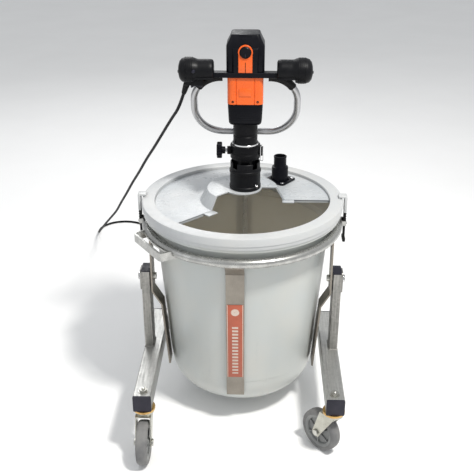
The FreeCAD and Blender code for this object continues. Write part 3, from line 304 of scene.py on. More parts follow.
@dataclass(frozen=True)
class Poly:
    """Milky polyethylene that lets some light through, scuffed and a little chalky."""

    name: str
    colour: Colour
    warm: Colour
    glow: float = 0.25
    clear: float = 0.0
    rough: tuple[float, float] = (0.30, 0.48)

    def make(self) -> bpy.types.Material:
        """Build the material."""
        n = Nodes(self.name)
        cloud = n.noise(7.0, 4.0)
        scuff = n.noise(35.0, 7.0, n.stretched((1.0, 1.0, 0.25)), 0.7)
        base = n.ramp(cloud, 0.35, 0.70, self.colour, self.warm)
        scuffed = tuple(channel * 0.90 for channel in self.colour)
        n.link(n.mix(n.ramp(scuff, 0.60, 0.74, 0.0, 0.55), base, n.ramp(scuff, 0.0, 1.0, scuffed, scuffed)),
               n.shader.inputs["Base Color"])
        n.link(n.ramp(scuff, 0.35, 0.70, self.rough[0], self.rough[1]), n.shader.inputs["Roughness"])
        n.bump(n.noise(24.0, 3.0), 0.0009, 0.22)
        n.bump(n.noise(700.0, 2.0), 0.00005, 0.35)
        n.plain(Subsurface_Weight=self.glow, Subsurface_Scale=0.012, Transmission_Weight=self.clear,
                IOR=1.5)
        n.shader.inputs["Subsurface Radius"].default_value = (1.0, 0.95, 0.85)
        return n.material


@dataclass(frozen=True)
class Label:
    """Printed strap label: warm ground with plain bars, a pale disc and worn patches, no lettering."""

    name: str
    ground: Colour
    print_colour: Colour
    low: float
    high: float
    middle: float

    def make(self) -> bpy.types.Material:
        """Build the material."""
        n = Nodes(self.name)
        x, _, z = n.split()
        across = n.math("ABSOLUTE", n.math("SUBTRACT", x, self.middle))
        height = n.math("DIVIDE", n.math("SUBTRACT", z, self.low), self.high - self.low)
        bars = n.math("LESS_THAN", n.math("FRACT", n.math("MULTIPLY", height, 22.0)), 0.55)
        core = n.math("LESS_THAN", across, 0.0085)
        field_low = n.math("GREATER_THAN", height, 0.05)
        field_high = n.math("LESS_THAN", height, 0.72)
        marks = n.math("MULTIPLY", n.math("MULTIPLY", bars, core),
                       n.math("MULTIPLY", field_low, field_high))
        edge = n.math("MULTIPLY", n.math("GREATER_THAN", across, 0.0205),
                      n.math("LESS_THAN", across, 0.0222))
        rise = n.math("SUBTRACT", z, self.low + 0.90 * (self.high - self.low))
        disc = n.math("LESS_THAN", n.math("ADD", n.math("MULTIPLY", across, across),
                                          n.math("MULTIPLY", rise, rise)),
                      0.0115 ** 2)
        ink = n.math("MAXIMUM", n.math("MAXIMUM", marks, edge), disc)
        ground = n.ramp(n.noise(30.0, 5.0), 0.35, 0.75, self.ground, tuple(c * 0.78 for c in self.ground))
        inked = n.math("MULTIPLY", ink, n.ramp(n.noise(260.0, 3.0), 0.30, 0.42, 0.35, 0.85))
        n.link(n.mix(inked, ground, n.ramp(ink, 0.0, 1.0, self.print_colour, self.print_colour)),
               n.shader.inputs["Base Color"])
        n.link(n.ramp(n.noise(80.0, 3.0), 0.3, 0.7, 0.30, 0.50), n.shader.inputs["Roughness"])
        n.bump(n.noise(120.0, 3.0), 0.0002, 0.2)
        n.plain(Coat_Weight=0.2, Coat_Roughness=0.2)
        return n.material


FINISHES = {
    finish.name: finish.make()
    for finish in (
        Galvanised("rail_zinc", light=(0.56, 0.56, 0.54), dark=(0.40, 0.40, 0.39), stretch=(6.0, 0.3, 6.0)),
        # post_zinc_shaded: a darker copy of the galvanised finish, painted shade on the uprights' faces and
        # the welds at their feet.
        Galvanised("post_zinc_shaded", light=(0.36, 0.35, 0.33), dark=(0.20, 0.20, 0.19), stretch=(6.0, 6.0, 0.3)),
        Galvanised("hoop_zinc", light=(0.52, 0.52, 0.50), dark=(0.37, 0.37, 0.36), rough=(0.22, 0.34)),
        # cross_zinc_shaded: a darker copy of the galvanised finish, painted shade on the rear bars behind
        # the bucket.
        Galvanised("cross_zinc_shaded", light=(0.42, 0.42, 0.42), dark=(0.28, 0.28, 0.28),
                   stretch=(0.3, 6.0, 6.0)),
        Brushed("strap_steel", (0.33, 0.30, 0.26), (0.22, 0.20, 0.175), stretch=(6.0, 6.0, 0.4),
                rough=(0.30, 0.46)),
        Brushed("fork_zinc", (0.62, 0.62, 0.56), (0.38, 0.37, 0.32), stretch=(2.0, 2.0, 6.0),
                rough=(0.22, 0.42)),
        Brushed("bolt_zinc", (0.70, 0.70, 0.66), (0.40, 0.39, 0.36), stretch=(3.0, 3.0, 3.0)),
        Brushed("race_gold", (0.78, 0.52, 0.20), (0.48, 0.28, 0.10), stretch=(2.0, 2.0, 12.0)),
        Brushed("loop_aluminium", (0.56, 0.56, 0.57), (0.44, 0.44, 0.45), stretch=(1.0, 8.0, 8.0),
                rough=(0.26, 0.42)),
        Brushed("shaft_stainless", (0.70, 0.70, 0.70), (0.42, 0.42, 0.41), stretch=(8.0, 8.0, 1.0)),
        Brushed("bright_steel", (0.85, 0.85, 0.86), (0.60, 0.60, 0.61), rough=(0.10, 0.22)),
        Brushed("gear_steel", (0.46, 0.46, 0.47), (0.28, 0.28, 0.29), stretch=(6.0, 6.0, 6.0)),
        Brushed("collar_grey", (0.0075, 0.008, 0.010), (0.004, 0.004, 0.005), rough=(0.34, 0.5),
                metallic=0.0,
                specular=0.18, stretch=(6.0, 6.0, 1.0)),
        Brushed("clamp_black", (0.005, 0.005, 0.0065), (0.0025, 0.0025, 0.003), rough=(0.28, 0.45),
                metallic=0.0,
                specular=0.14),
        Brushed("winding_copper", (0.62, 0.28, 0.12), (0.30, 0.13, 0.06), stretch=(20.0, 20.0, 1.0)),
        Moulded("black_plastic", (0.0030, 0.0034, 0.0055), (0.008, 0.008, 0.011), rough=(0.26, 0.40),
                specular=0.14),
        Moulded("cap_plastic", (0.010, 0.010, 0.020), (0.032, 0.030, 0.046), rough=(0.30, 0.5),
                specular=0.35),
        Moulded("soft_grip", (0.0045, 0.0048, 0.006), (0.012, 0.012, 0.014), rough=(0.36, 0.52),
                grain=700.0,
                depth=0.0002, specular=0.16),
        Moulded("orange_plastic", (0.82, 0.120, 0.006), (0.66, 0.088, 0.006), rough=(0.22, 0.36), coat=0.25,
                dust=(0.40, 0.85), depth=0.00005),
                Moulded("tyre_rubber", (0.150, 0.150, 0.152), (0.260, 0.255, 0.245), rough=(0.62, 0.85),
                        grain=420.0,
                depth=0.0004, dust=(0.40, 0.72)),
        Moulded("hub_plastic", (0.205, 0.210, 0.208), (0.34, 0.34, 0.33), rough=(0.45, 0.65)),
        Moulded("latch_rubber", (0.006, 0.006, 0.006), (0.022, 0.022, 0.022), rough=(0.5, 0.7),
                grain=600.0, specular=0.25),
        Moulded("cord_jacket", (0.005, 0.005, 0.006), (0.012, 0.012, 0.013), rough=(0.40, 0.55),
                grain=900.0,
                specular=0.12),
        Moulded("carbon", (0.02, 0.02, 0.02), (0.05, 0.05, 0.05)),
        Label("strap_label", (0.44, 0.095, 0.045), (0.62, 0.56, 0.48), 0.180, 0.432, -0.013),
        Poly("bucket_poly", (0.50, 0.525, 0.515), (0.53, 0.535, 0.505), glow=0.12),
        # bucket_inside_lightened: a lighter copy of the bucket polyethylene with more glow, painted light on
        # the inside wall and floor, which lie in the lid's shade.
        Poly("bucket_inside_lightened", (0.80, 0.77, 0.70), (0.76, 0.73, 0.66), glow=0.30),
        Poly("lid_poly", (0.50, 0.515, 0.525), (0.54, 0.545, 0.54), glow=0.12),
        Poly("cover_poly", (0.42, 0.445, 0.465), (0.54, 0.555, 0.565), glow=0.12, rough=(0.22, 0.4)),
    )
}


# ---- Modelling bench ---------------------------------------------------------------------------


class Bench:
    """Modelling moves that every sub-assembly shares."""

    @staticmethod
    def clear() -> None:
        """Leave edit mode with nothing selected."""
        if bpy.context.object and bpy.context.object.mode != "OBJECT":
            bpy.ops.object.mode_set(mode="OBJECT")
        bpy.ops.object.select_all(action="DESELECT")

    @staticmethod
    def hold(piece: bpy.types.Object) -> None:
        """Select one piece and make it active."""
        Bench.clear()
        piece.select_set(True)
        bpy.context.view_layer.objects.active = piece

    @staticmethod
    def settle(piece: bpy.types.Object) -> bpy.types.Object:
        """Move a piece's place, turn and scale into its mesh."""
        Bench.hold(piece)
        bpy.ops.object.transform_apply(location=True, rotation=True, scale=True)
        return piece

    @staticmethod
    def pick(piece: bpy.types.Object, wanted: Callable[[Vector, Vector], bool]) -> None:
        """Select faces by their centre and normal, and leave the piece in edit mode.

        Args:
            piece: the piece.
            wanted: test on a face's centre and normal.
        """
        Bench.hold(piece)
        bpy.ops.object.mode_set(mode="EDIT")
        bpy.ops.mesh.select_mode(type="FACE")
        bpy.ops.mesh.select_all(action="DESELECT")
        bpy.ops.object.mode_set(mode="OBJECT")
        for face in piece.data.polygons:
            face.select = wanted(face.center, face.normal)
        bpy.ops.object.mode_set(mode="EDIT")

    @staticmethod
    def pick_edges(piece: bpy.types.Object, wanted: Callable[[Vector, Vector], bool]) -> None:
        """Select edges by their two ends, and leave the piece in edit mode.

        Args:
            piece: the piece.
            wanted: test on an edge's two ends.
        """
        Bench.hold(piece)
        bpy.ops.object.mode_set(mode="EDIT")
        bpy.ops.mesh.select_mode(type="EDGE")
        bpy.ops.mesh.select_all(action="DESELECT")
        bpy.ops.object.mode_set(mode="OBJECT")
        spots = piece.data.vertices
        for edge in piece.data.edges:
            edge.select = wanted(spots[edge.vertices[0]].co, spots[edge.vertices[1]].co)
        bpy.ops.object.mode_set(mode="EDIT")

    @staticmethod
    def smooth(piece: bpy.types.Object, angle: float = 32.0) -> bpy.types.Object:
        """Shade smooth under an angle in degrees."""
        Bench.hold(piece)
        bpy.ops.object.shade_smooth_by_angle(angle=math.radians(angle))
        return piece

    @staticmethod
    def bevel(piece: bpy.types.Object, width: float, segments: int = 3,
              angle: float = 30.0) -> bpy.types.Object:
        """Round every edge sharper than an angle.

        Args:
            piece: the piece.
            width: width of the rounding, in metres.
            segments: faces across it.
            angle: least angle, in degrees.

        Returns:
            The piece.
        """
        Bench.hold(piece)
        rounding = piece.modifiers.new("edge_round", "BEVEL")
        rounding.width = width
        rounding.segments = segments
        rounding.limit_method = "ANGLE"
        rounding.angle_limit = math.radians(angle)
        rounding.harden_normals = False
        bpy.ops.object.modifier_apply(modifier=rounding.name)
        return Bench.smooth(piece)

    @staticmethod
    def block(name: str, low: Sequence[float], high: Sequence[float], upright: float = 0.0,
              edge: float = 0.0,
              segments: int = 3) -> bpy.types.Object:
        """Cuboid between two corners with rounded upright edges and softened edges.

        Args:
            name: the piece's name.
            low: lowest corner.
            high: highest corner.
            upright: radius of the four upright edges.
            edge: rounding of all the other edges.
            segments: faces across the rounding.

        Returns:
            The piece.
        """
        Bench.clear()
        middle = [(a + b) / 2 for a, b in zip(low, high)]
        bpy.ops.mesh.primitive_cube_add(size=1.0, location=middle, scale=[b - a for a, b in zip(low, high)])
        piece = bpy.context.object
        piece.name = name
        Bench.settle(piece)
        if upright:
            Bench.pick_edges(piece, lambda a, b: abs(a.x - b.x) < 1e-6 and abs(a.y - b.y) < 1e-6)
            bpy.ops.mesh.bevel(offset=upright, segments=6, affect="EDGES")
            bpy.ops.object.mode_set(mode="OBJECT")
        return Bench.bevel(piece, edge, segments) if edge else piece

    @staticmethod
    def turned(name: str, profile: Sequence[tuple[float, float]], centre: Sequence[float] = (0.0, 0.0, 0.0),
               axis: Axis = Axis.Z, steps: int = 64, angle: float = 32.0) -> bpy.types.Object:
        """Turn a profile of (radius, height) points: a circle extruded and resized ring by ring.

        Args:
            name: the piece's name.
            profile: points in order; a radius of 0 closes the end, and a repeated first point closes a ring.
            centre: where the profile's origin goes.
            axis: direction of the piece's axis.
            steps: points round the circle.
            angle: shading angle in degrees.

        Returns:
            The piece.
        """
        Bench.clear()
        starts_closed = profile[0][0] == 0
        rings = list(profile[1:] if starts_closed else profile)
        bpy.ops.mesh.primitive_circle_add(vertices=steps, radius=rings[0][0], location=(0, 0, rings[0][1]))
        piece = bpy.context.object
        piece.name = name
        Bench.settle(piece)
        bpy.ops.object.mode_set(mode="EDIT")
        bpy.ops.mesh.select_mode(type="VERT")
        if starts_closed:
            bpy.ops.mesh.select_all(action="SELECT")
            bpy.ops.mesh.extrude_region_move(
                TRANSFORM_OT_translate={"value": (0, 0, profile[0][1] - rings[0][1])})
            bpy.ops.mesh.merge(type="CENTER")
            bpy.ops.object.mode_set(mode="OBJECT")
            for spot in piece.data.vertices:
                spot.select = spot.index < steps
            for edge in piece.data.edges:
                edge.select = max(edge.vertices) < steps
            for face in piece.data.polygons:
                face.select = False
            bpy.ops.object.mode_set(mode="EDIT")
        else:
            bpy.ops.mesh.select_all(action="SELECT")
        for (radius, height), (next_radius, next_height) in zip(rings, rings[1:]):
            bpy.ops.mesh.extrude_region_move(TRANSFORM_OT_translate={"value": (0, 0, next_height - height)})
            if next_radius == 0:
                bpy.ops.mesh.merge(type="CENTER")
                break
            share = next_radius / radius
            bpy.ops.transform.resize(value=(share, share, 1), center_override=(0, 0, next_height))
        bpy.ops.mesh.select_all(action="SELECT")
        bpy.ops.mesh.remove_doubles(threshold=1e-6)
        bpy.ops.mesh.normals_make_consistent(inside=False)
        bpy.ops.object.mode_set(mode="OBJECT")
        piece.rotation_euler = axis.value
        piece.location = centre
        Bench.settle(piece)
        return Bench.smooth(piece, angle)

    @staticmethod
    def hexagon(name: str, across: float, low: float, high: float, centre: Sequence[float],
                axis: Axis = Axis.Z) -> bpy.types.Object:
        """Hexagon nut or bolt head with chamfered corners.

        Args:
            name: the piece's name.
            across: size over two corners.
            low: start along the axis.
            high: end along the axis.
            centre: a point on the axis.
            axis: the axis's direction.

        Returns:
            The piece.
        """
        half = across / 2
        piece = Bench.turned(name, [(0, low), (half, low), (half, high - half * 0.14),
                                    (half * 0.86, high), (0, high)],
                             centre, axis, steps=6, angle=20.0)
        return Bench.bevel(piece, half * 0.06, 2, 20.0)

    @staticmethod
    def carve(piece: bpy.types.Object, *cutters: bpy.types.Object,
              keep_shading: float = 32.0) -> bpy.types.Object:
        """Cut other shapes out of a piece.

        Args:
            piece: the piece.
            cutters: shapes that are used up.
            keep_shading: shading angle afterwards, in degrees.

        Returns:
            The piece.
        """
        for cutter in cutters:
            Bench.hold(piece)
            bite = piece.modifiers.new("bite", "BOOLEAN")
            bite.operation = "DIFFERENCE"
            bite.solver = "EXACT"
            bite.object = cutter
            bpy.ops.object.modifier_apply(modifier=bite.name)
            bpy.data.objects.remove(cutter)
        return Bench.smooth(piece, keep_shading)

    @staticmethod
    def copy(piece: bpy.types.Object, name: str, move: Matrix) -> bpy.types.Object:
        """Copy a piece with a mesh of its own, moved in the mesh.

        Args:
            piece: what is copied.
            name: the copy's name.
            move: the move.

        Returns:
            The copy.
        """
        twin = piece.copy()
        twin.data = piece.data.copy()
        twin.name = name
        twin.data.transform(move)
        if move.determinant() < 0:
            twin.data.flip_normals()
        bpy.context.collection.objects.link(twin)
        return twin

    @staticmethod
    def join(name: str, pieces: Sequence[bpy.types.Object]) -> bpy.types.Object:
        """Join pieces of one moulding or one set of fasteners into one object."""
        Bench.clear()
        for piece in pieces:
            piece.select_set(True)
        bpy.context.view_layer.objects.active = pieces[0]
        bpy.ops.object.join()
        pieces[0].name = name
        return pieces[0]

    @staticmethod
    def join_parts(body: bpy.types.Object, *others: bpy.types.Object) -> bpy.types.Object:
        """Hang other pieces of one assembly on its body."""
        for other in others:
            other.parent = body
        return body

    @staticmethod
    def bead(name: str, points: Sequence[Sequence[float]], radius: float, seed: int) -> bpy.types.Object:
        """Weld bead: a row of overlapping squashed drops along a line.

        Args:
            name: the piece's name.
            points: ends of the line.
            radius: size of the bead.
            seed: seed of its unevenness.

        Returns:
            The piece.
        """
        chance = random.Random(seed)
        start = Vector(points[0])
        run = Vector(points[1]) - start
        count = max(3, int(run.length / (radius * 0.9)))
        drops = []
        for index in range(count):
            Bench.clear()
            size = radius * chance.uniform(0.85, 1.12)
            bpy.ops.mesh.primitive_uv_sphere_add(segments=10, ring_count=6, radius=size,
                                                 location=start + run * (index + 0.5) / count)
            drops.append(Bench.settle(bpy.context.object))
        return Bench.smooth(Bench.join(name, drops), 80.0)

    @staticmethod
    def dress(piece: bpy.types.Object, finish: str, body: str, slot: str, *nodes: str) -> bpy.types.Object:
        """Give a new piece its finish, its body and the frame nodes that it stands for.

        Args:
            piece: the piece.
            finish: name of its finish.
            body: body that it moves with.
            slot: not used; names the record's material slot that its finish answers to.
            nodes: frame nodes that it replaces.

        Returns:
            The piece.
        """
        piece.data.materials.clear()
        piece.data.materials.append(FINISHES[finish])
        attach(piece, body)
        if nodes:
            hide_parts(*nodes)
        LOG.info("%s rides on %s", piece.name, body)
        return piece

    @staticmethod
    def redress(finish: str, *nodes: str) -> None:
        """Give frame nodes a finish on their own slots."""
        for name in nodes:
            item = frame["nodes"][name]
            if not item.data.materials:
                item.data.materials.append(FINISHES[finish])
            for index in range(len(item.data.materials)):
                item.data.materials[index] = FINISHES[finish]
            LOG.info("%s wears %s", name, finish)


def round_corner(centre: tuple[float, float], radius: float, start: float, end: float,
                 steps: int) -> list[tuple[float, float]]:
    """Points of an arc in a (radius, height) profile.

    Args:
        centre: the arc's centre.
        radius: its radius.
        start: first angle in degrees, 0 pointing outwards.
        end: last angle in degrees.
        steps: spans.

    Returns:
        The points.
    """
    angles = [math.radians(start + (end - start) * index / steps) for index in range(steps + 1)]
    return [(centre[0] + radius * math.cos(a), centre[1] + radius * math.sin(a)) for a in angles]


def middle(node: str) -> Vector:
    """Centre of a frame node's box."""
    low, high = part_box(node)
    return (low + high) / 2


def joint(name: str) -> dict:
    """The record's entry for a joint."""
    return next(entry for entry in frame["record"]["behaviour"]["joints"] if entry["name"] == name)


def placed(spot: Sequence[float], turn: float = 0.0, about: str = "Z") -> Matrix:
    """Turn about an axis through the origin, then move.

    Args:
        spot: where the origin goes.
        turn: angle in degrees.
        about: the axis.

    Returns:
        The move.
    """
    return Matrix.Translation(Vector(spot)) @ Matrix.Rotation(math.radians(turn), 4, about)


# ---- Studio ------------------------------------------------------------------------------------


@dataclass
class Studio:
    """Pale floor, soft light and the camera."""

    eye: Point = (0.05128, -2.1034, 1.5297)
    pitch: float = 64.34
    swing: float = 1.8175
    lens: float = 59.63
    sensor: float = 36.0
    floor_size: float = 30.0
    sky: float = 0.55

    def floor(self) -> None:
        """Lay the floor."""
        Bench.clear()
        bpy.ops.mesh.primitive_plane_add(size=self.floor_size)
        plane = bpy.context.object
        plane.name = "floor"
        n = Nodes("floor_paint")
        n.link(n.ramp(n.noise(2.0), 0.3, 0.7, (0.93, 0.93, 0.93), (0.96, 0.96, 0.96)),
               n.shader.inputs["Base Color"])
        n.plain(Roughness=0.9)
        plane.data.materials.append(n.material)

    def lamp(self, name: str, spot: Point, target: Point, side: float, power: float,
             colour: Colour) -> None:
        """Hang one square soft light.

        Args:
            name: the light's name.
            spot: where it hangs.
            target: where it points.
            side: its size.
            power: watts.
            colour: its colour.
        """
        data = bpy.data.lights.new(name, "AREA")
        data.size = side
        data.energy = power
        data.color = colour
        lamp = bpy.data.objects.new(name, data)
        lamp.location = spot
        lamp.rotation_euler = (Vector(spot) - Vector(target)).to_track_quat("Z", "Y").to_euler()
        bpy.context.collection.objects.link(lamp)

    def lights(self) -> None:
        """Set an even sky and three soft lights."""
        world = bpy.data.worlds.new("soft_sky")
        world.use_nodes = True
        back = world.node_tree.nodes["Background"]
        back.inputs["Color"].default_value = (0.96, 0.98, 1.0, 1.0)
        back.inputs["Strength"].default_value = self.sky
        bpy.context.scene.world = world
        self.lamp("key", (1.25, -1.35, 3.5), (0.0, 0.0, 0.5), 0.40, 120.0, (1.0, 0.98, 0.94))
        self.lamp("fill", (-2.6, -1.8, 2.0), (0.0, 0.0, 0.5), 2.2, 10.0, (0.95, 0.97, 1.0))
        self.lamp("rim", (-0.8, 2.6, 2.6), (0.0, 0.0, 0.7), 1.6, 24.0, (1.0, 1.0, 1.0))

    def camera(self) -> None:
        """Stand the camera."""
        data = bpy.data.cameras.new("camera")
        data.lens = self.lens
        data.sensor_width = self.sensor
        camera = bpy.data.objects.new("camera", data)
        camera.location = self.eye
        camera.rotation_euler = (math.radians(self.pitch), 0.0, math.radians(self.swing))
        bpy.context.collection.objects.link(camera)
        bpy.context.scene.camera = camera
        bpy.context.scene.view_settings.view_transform = "Standard"

    def build(self) -> None:
        """Set up the whole studio."""
        self.camera()
        self.floor()
        self.lights()


# ---- Cord --------------------------------------------------------------------------------------


@dataclass
class PowerCord:
    """Mains lead: strain relief, free cord, coil and plug."""

    radius: float = 0.0045
    coil_middle: float = 0.050
    coil_turns: float = 3.5
    coil_steps: int = 16
    settled: float = 0.82
    route: tuple[tuple[float, float, float], ...] = (
        (-0.162, 0.005, 0.952), (-0.180, 0.042, 0.900), (-0.206, 0.095, 0.856), (-0.242, 0.167, 0.790),
        (-0.284, 0.250, 0.712), (-0.325, 0.333, 0.640), (-0.365, 0.417, 0.562), (-0.405, 0.501, 0.490),
        (-0.444, 0.585, 0.413), (-0.483, 0.670, 0.340), (-0.521, 0.756, 0.264), (-0.563, 0.843, 0.197),
        (-0.607, 0.930, 0.128), (-0.648, 1.016, 0.060), (-0.680, 1.092, 0.0046), (-0.676, 1.162, 0.0046),
        (-0.628, 1.214, 0.0046), (-0.552, 1.226, 0.0046), (-0.480, 1.190, 0.0046), (-0.424, 1.130, 0.0046),
        (-0.372, 1.068, 0.0046), (-0.318, 1.016, 0.0046))

    def coil(self) -> list[Point]:
        """Turns of the coil: two side by side on the floor, then two on top of them."""
        low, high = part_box("cord_coil")
        middle = (low + high) / 2
        pitch = 2 * self.radius
        points = []
        total = int(self.coil_turns * self.coil_steps)
        for index in range(total + 1):
            angle = math.pi + 2 * math.pi * index / self.coil_steps
            turn = index / self.coil_steps
            across = min(turn, 1.0) if turn < 2.5 else 1.0 - min(turn - 2.5, 1.0)
            layer = min(max(turn - 1.5, 0.0), 1.0)
            reach = self.coil_middle + self.radius - pitch * across
            points.append((middle.x + reach * math.cos(angle), middle.y + reach * math.sin(angle),
                           low.z + self.radius * 1.05 + pitch * layer))
        return points

    def spline(self) -> list[Vector]:
        """The cord's middle line: route, coil and the run into the plug."""
        low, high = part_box("cord_plug")
        entry = ((low.x + high.x) / 2, low.y, (low.z + high.z) / 2)
        points = list(self.route) + self.coil()[1:] + [entry]
        curve = bpy.data.curves.new("cord_line", "CURVE")
        curve.dimensions = "3D"
        curve.resolution_u = 10
        line = curve.splines.new("NURBS")
        line.points.add(len(points) - 1)
        for spot, point in zip(line.points, points):
            spot.co = (*point, 1.0)
        line.order_u = 3
        line.use_endpoint_u = True
        holder = bpy.data.objects.new("cord_line", curve)
        bpy.context.collection.objects.link(holder)
        drawn = bpy.data.meshes.new_from_object(holder.evaluated_get(bpy.context.evaluated_depsgraph_get()))
        places = [spot.co.copy() for spot in drawn.vertices]
        bpy.data.objects.remove(holder)
        return places

    def tube(self, name: str, places: list[Vector]) -> bpy.types.Object:
        """Jacket along a line: a bevelled curve through its points, turned into a mesh."""
        curve = bpy.data.curves.new(name, "CURVE")
        curve.dimensions = "3D"
        line = curve.splines.new("POLY")
        line.points.add(len(places) - 1)
        for spot, place in zip(line.points, places):
            spot.co = (*place, 1.0)
        curve.bevel_depth = self.radius
        curve.bevel_resolution = 4
        curve.use_fill_caps = True
        jacket = bpy.data.objects.new(name, curve)
        bpy.context.collection.objects.link(jacket)
        Bench.hold(jacket)
        bpy.ops.object.convert(target="MESH")
        return Bench.smooth(bpy.context.object, 60.0)

    def plug(self) -> bpy.types.Object:
        """Moulded plug with ribbed grip, two flat blades and a round earth pin."""
        low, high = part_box("cord_plug")
        x = (low.x + high.x) / 2
        z = (low.z + high.z) / 2
        start = low.y
        grip = Bench.turned("plug_grip", [
            (0, 0), (0.0062, 0), (0.0066, 0.004), (0.0060, 0.005), (0.0070, 0.008), (0.0072, 0.011),
            (0.0066, 0.012),
            (0.0078, 0.015), (0.0082, 0.018), (0.0074, 0.019), (0.0120, 0.028), (0.0146, 0.036),
            (0.0150, 0.045),
            (0.0143, 0.046), (0, 0.046)], (0, 0, 0), Axis.Z, 40)
        ribs = [Bench.block("plug_rib", (0.0095, -0.001, 0.026), (0.0135, 0.001, 0.038), edge=0.0004)]
        turned_ribs = [Bench.copy(ribs[0], "plug_rib", Matrix.Rotation(math.radians(24 * index), 4, "Z"))
                       for index in range(1, 15)]
        body = Bench.join("plug_body", [grip] + ribs + turned_ribs)
        pins = [Bench.block("plug_blade", (side - 0.0008, -0.0020, 0.046), (side + 0.0008, 0.0044, 0.064),
                            edge=0.0003) for side in (-0.0064, 0.0064)]
        pins.append(Bench.turned("plug_earth",
                                 [(0, 0.046), (0.0024, 0.046), (0.0024, 0.064), (0.0012, 0.066),
                                                (0, 0.066)], (0, -0.0077, 0), Axis.Z, 20))
        blades = Bench.join("plug_pins", pins)
        for piece in (body, blades):
            piece.data.transform(placed((x, start, z)) @ Matrix.Rotation(math.radians(-90), 4, "X"))
        Bench.dress(body, "cord_jacket", "frame", "cord_rubber", "cord_plug")
        Bench.dress(blades, "bright_steel", "frame", "zinc_steel", "cord_plug")
        return Bench.join_parts(body, blades)

    def guard(self) -> bpy.types.Object:
        """Ribbed strain relief that the cord leaves the grip through."""
        start = Vector(self.route[0])
        way = (Vector(self.route[1]) - start).normalized()
        rings = [(0, -0.046), (0.0088, -0.046), (0.0090, -0.040)]
        for index in range(6):
            level = -0.038 + 0.006 * index
            wide = 0.0088 - 0.0004 * index
            rings += [(wide - 0.0016, level), (wide - 0.0016, level + 0.002), (wide, level + 0.0026),
                      (wide - 0.0002, level + 0.0052)]
        rings += [(0.0058, -0.001), (0.0050, 0), (0, 0)]
        sleeve = Bench.turned("cord_guard_sleeve", rings, (0, 0, 0), Axis.Z, 32)
        sleeve.data.transform(Matrix.Translation(start) @ way.to_track_quat("Z", "X").to_matrix().to_4x4())
        return Bench.dress(sleeve, "latch_rubber", "cradle", "cord_rubber", "cord_guard")

    def build(self) -> None:
        """Lay the cord from the mixer to its plug."""
        places = self.spline()
        jacket = self.tube("power_cord", places)
        plug = self.plug()
        self.guard()
        jacket.data.materials.clear()
        jacket.data.materials.append(FINISHES["cord_jacket"])
        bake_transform(jacket)
        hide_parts("cord_lead", "cord_coil")


# ---- Frame and casters -------------------------------------------------------------------------


@dataclass
class RollingFrame:
    """Zinc-plated tube frame with its two uprights."""

    post_width: float = 0.0254
    plate: float = 0.004
    bead: float = 0.0028
    washer: float = 0.014
    stem: float = 0.0050
    head_across: float = 0.0235

    def welds(self) -> None:
        """Run a weld bead round the foot of each upright."""
        low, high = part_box("uprights")
        rail_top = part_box("side_rails")[1].z
        outer = high.x - self.plate
        inner = outer - self.post_width
        for side, tag in ((1, "right"), (-1, "left")):
            corners = [(side * inner, low.y), (side * inner, high.y)]
            lines = [Bench.bead("post_weld", [(*corners[0], rail_top), (*corners[1], rail_top)],
                                self.bead, 3 + side)]
            for y in (low.y, high.y):
                lines.append(Bench.bead("post_weld",
                                        [(side * inner, y, rail_top), (side * outer, y, rail_top)],
                                        self.bead, 7 + side))
            # The welds wear the darker zinc copy that paints shade on the uprights.
            Bench.dress(Bench.join(tag + "_post_weld", lines), "post_zinc_shaded", "frame", "galvanised_steel")

    def fasteners(self) -> None:
        """Add washers and threaded ends at the caster stems, and hexagon heads on the pivots."""
        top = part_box("stem_nuts")[1].z
        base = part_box("stem_nuts")[0].z
        pieces = []
        for tag in CASTERS:
            x, y, _ = joint(tag + "_swivel")["pos_m"]
            pieces.append(Bench.turned("stem_washer", [(0.006, 0), (self.washer, 0), (self.washer, 0.0014),
                                                       (0.006, 0.0014), (0.006, 0)], (x, y, base), Axis.Z,
                                       40))
            pieces.append(Bench.turned("stem_end", [(0, 0), (self.stem, 0), (self.stem, 0.0035),
                                                    (self.stem * 0.7, 0.0045), (0, 0.0045)], (x, y, top),
                                       Axis.Z, 24))
        Bench.dress(Bench.join("stem_fasteners", pieces), "bolt_zinc", "frame", "zinc_steel")
        low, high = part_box("pivot_bolts")
        spot = Vector(joint("cradle_tilt")["pos_m"])
        heads = []
        for side in (1, -1):
            face = high.x - 0.007
            head = Bench.hexagon("pivot_head", self.head_across, 0.0, 0.0069, (0, 0, 0))
            move = placed((side * face, spot.y, spot.z), 90 * side, "Y")
            head.data.transform(move)
            heads.append(head)
            ring = Bench.turned("pivot_washer", [(0.006, -0.0001), (0.0145, -0.0001), (0.0145, 0.0014),
                                                 (0.006, 0.0014), (0.006, -0.0001)], (0, 0, 0), Axis.Z, 40)
            ring.data.transform(move)
            heads.append(ring)
        Bench.dress(Bench.join("pivot_heads", heads), "bright_steel", "frame", "zinc_steel")

    def build(self) -> None:
        """Dress the frame's nodes and add its fasteners and welds."""
        Bench.redress("rail_zinc", "side_rails")
        # The rear bars wear a darker copy of the rail's zinc: painted shade.
        Bench.redress("cross_zinc_shaded", "rear_side_bars", "rear_cross_bar")
        # The uprights wear a darker copy of the rail's zinc: painted shade.
        Bench.redress("post_zinc_shaded", "uprights")
        Bench.redress("cap_plastic", "tube_caps")
        Bench.redress("bolt_zinc", "stem_nuts", "pivot_bolts")
        Bench.redress("race_gold", "caster_raceways")
        Bench.redress("latch_rubber", "rest_pad")
        self.welds()
        self.fasteners()


CASTERS = ("front_left", "front_right", "rear_left", "rear_right")


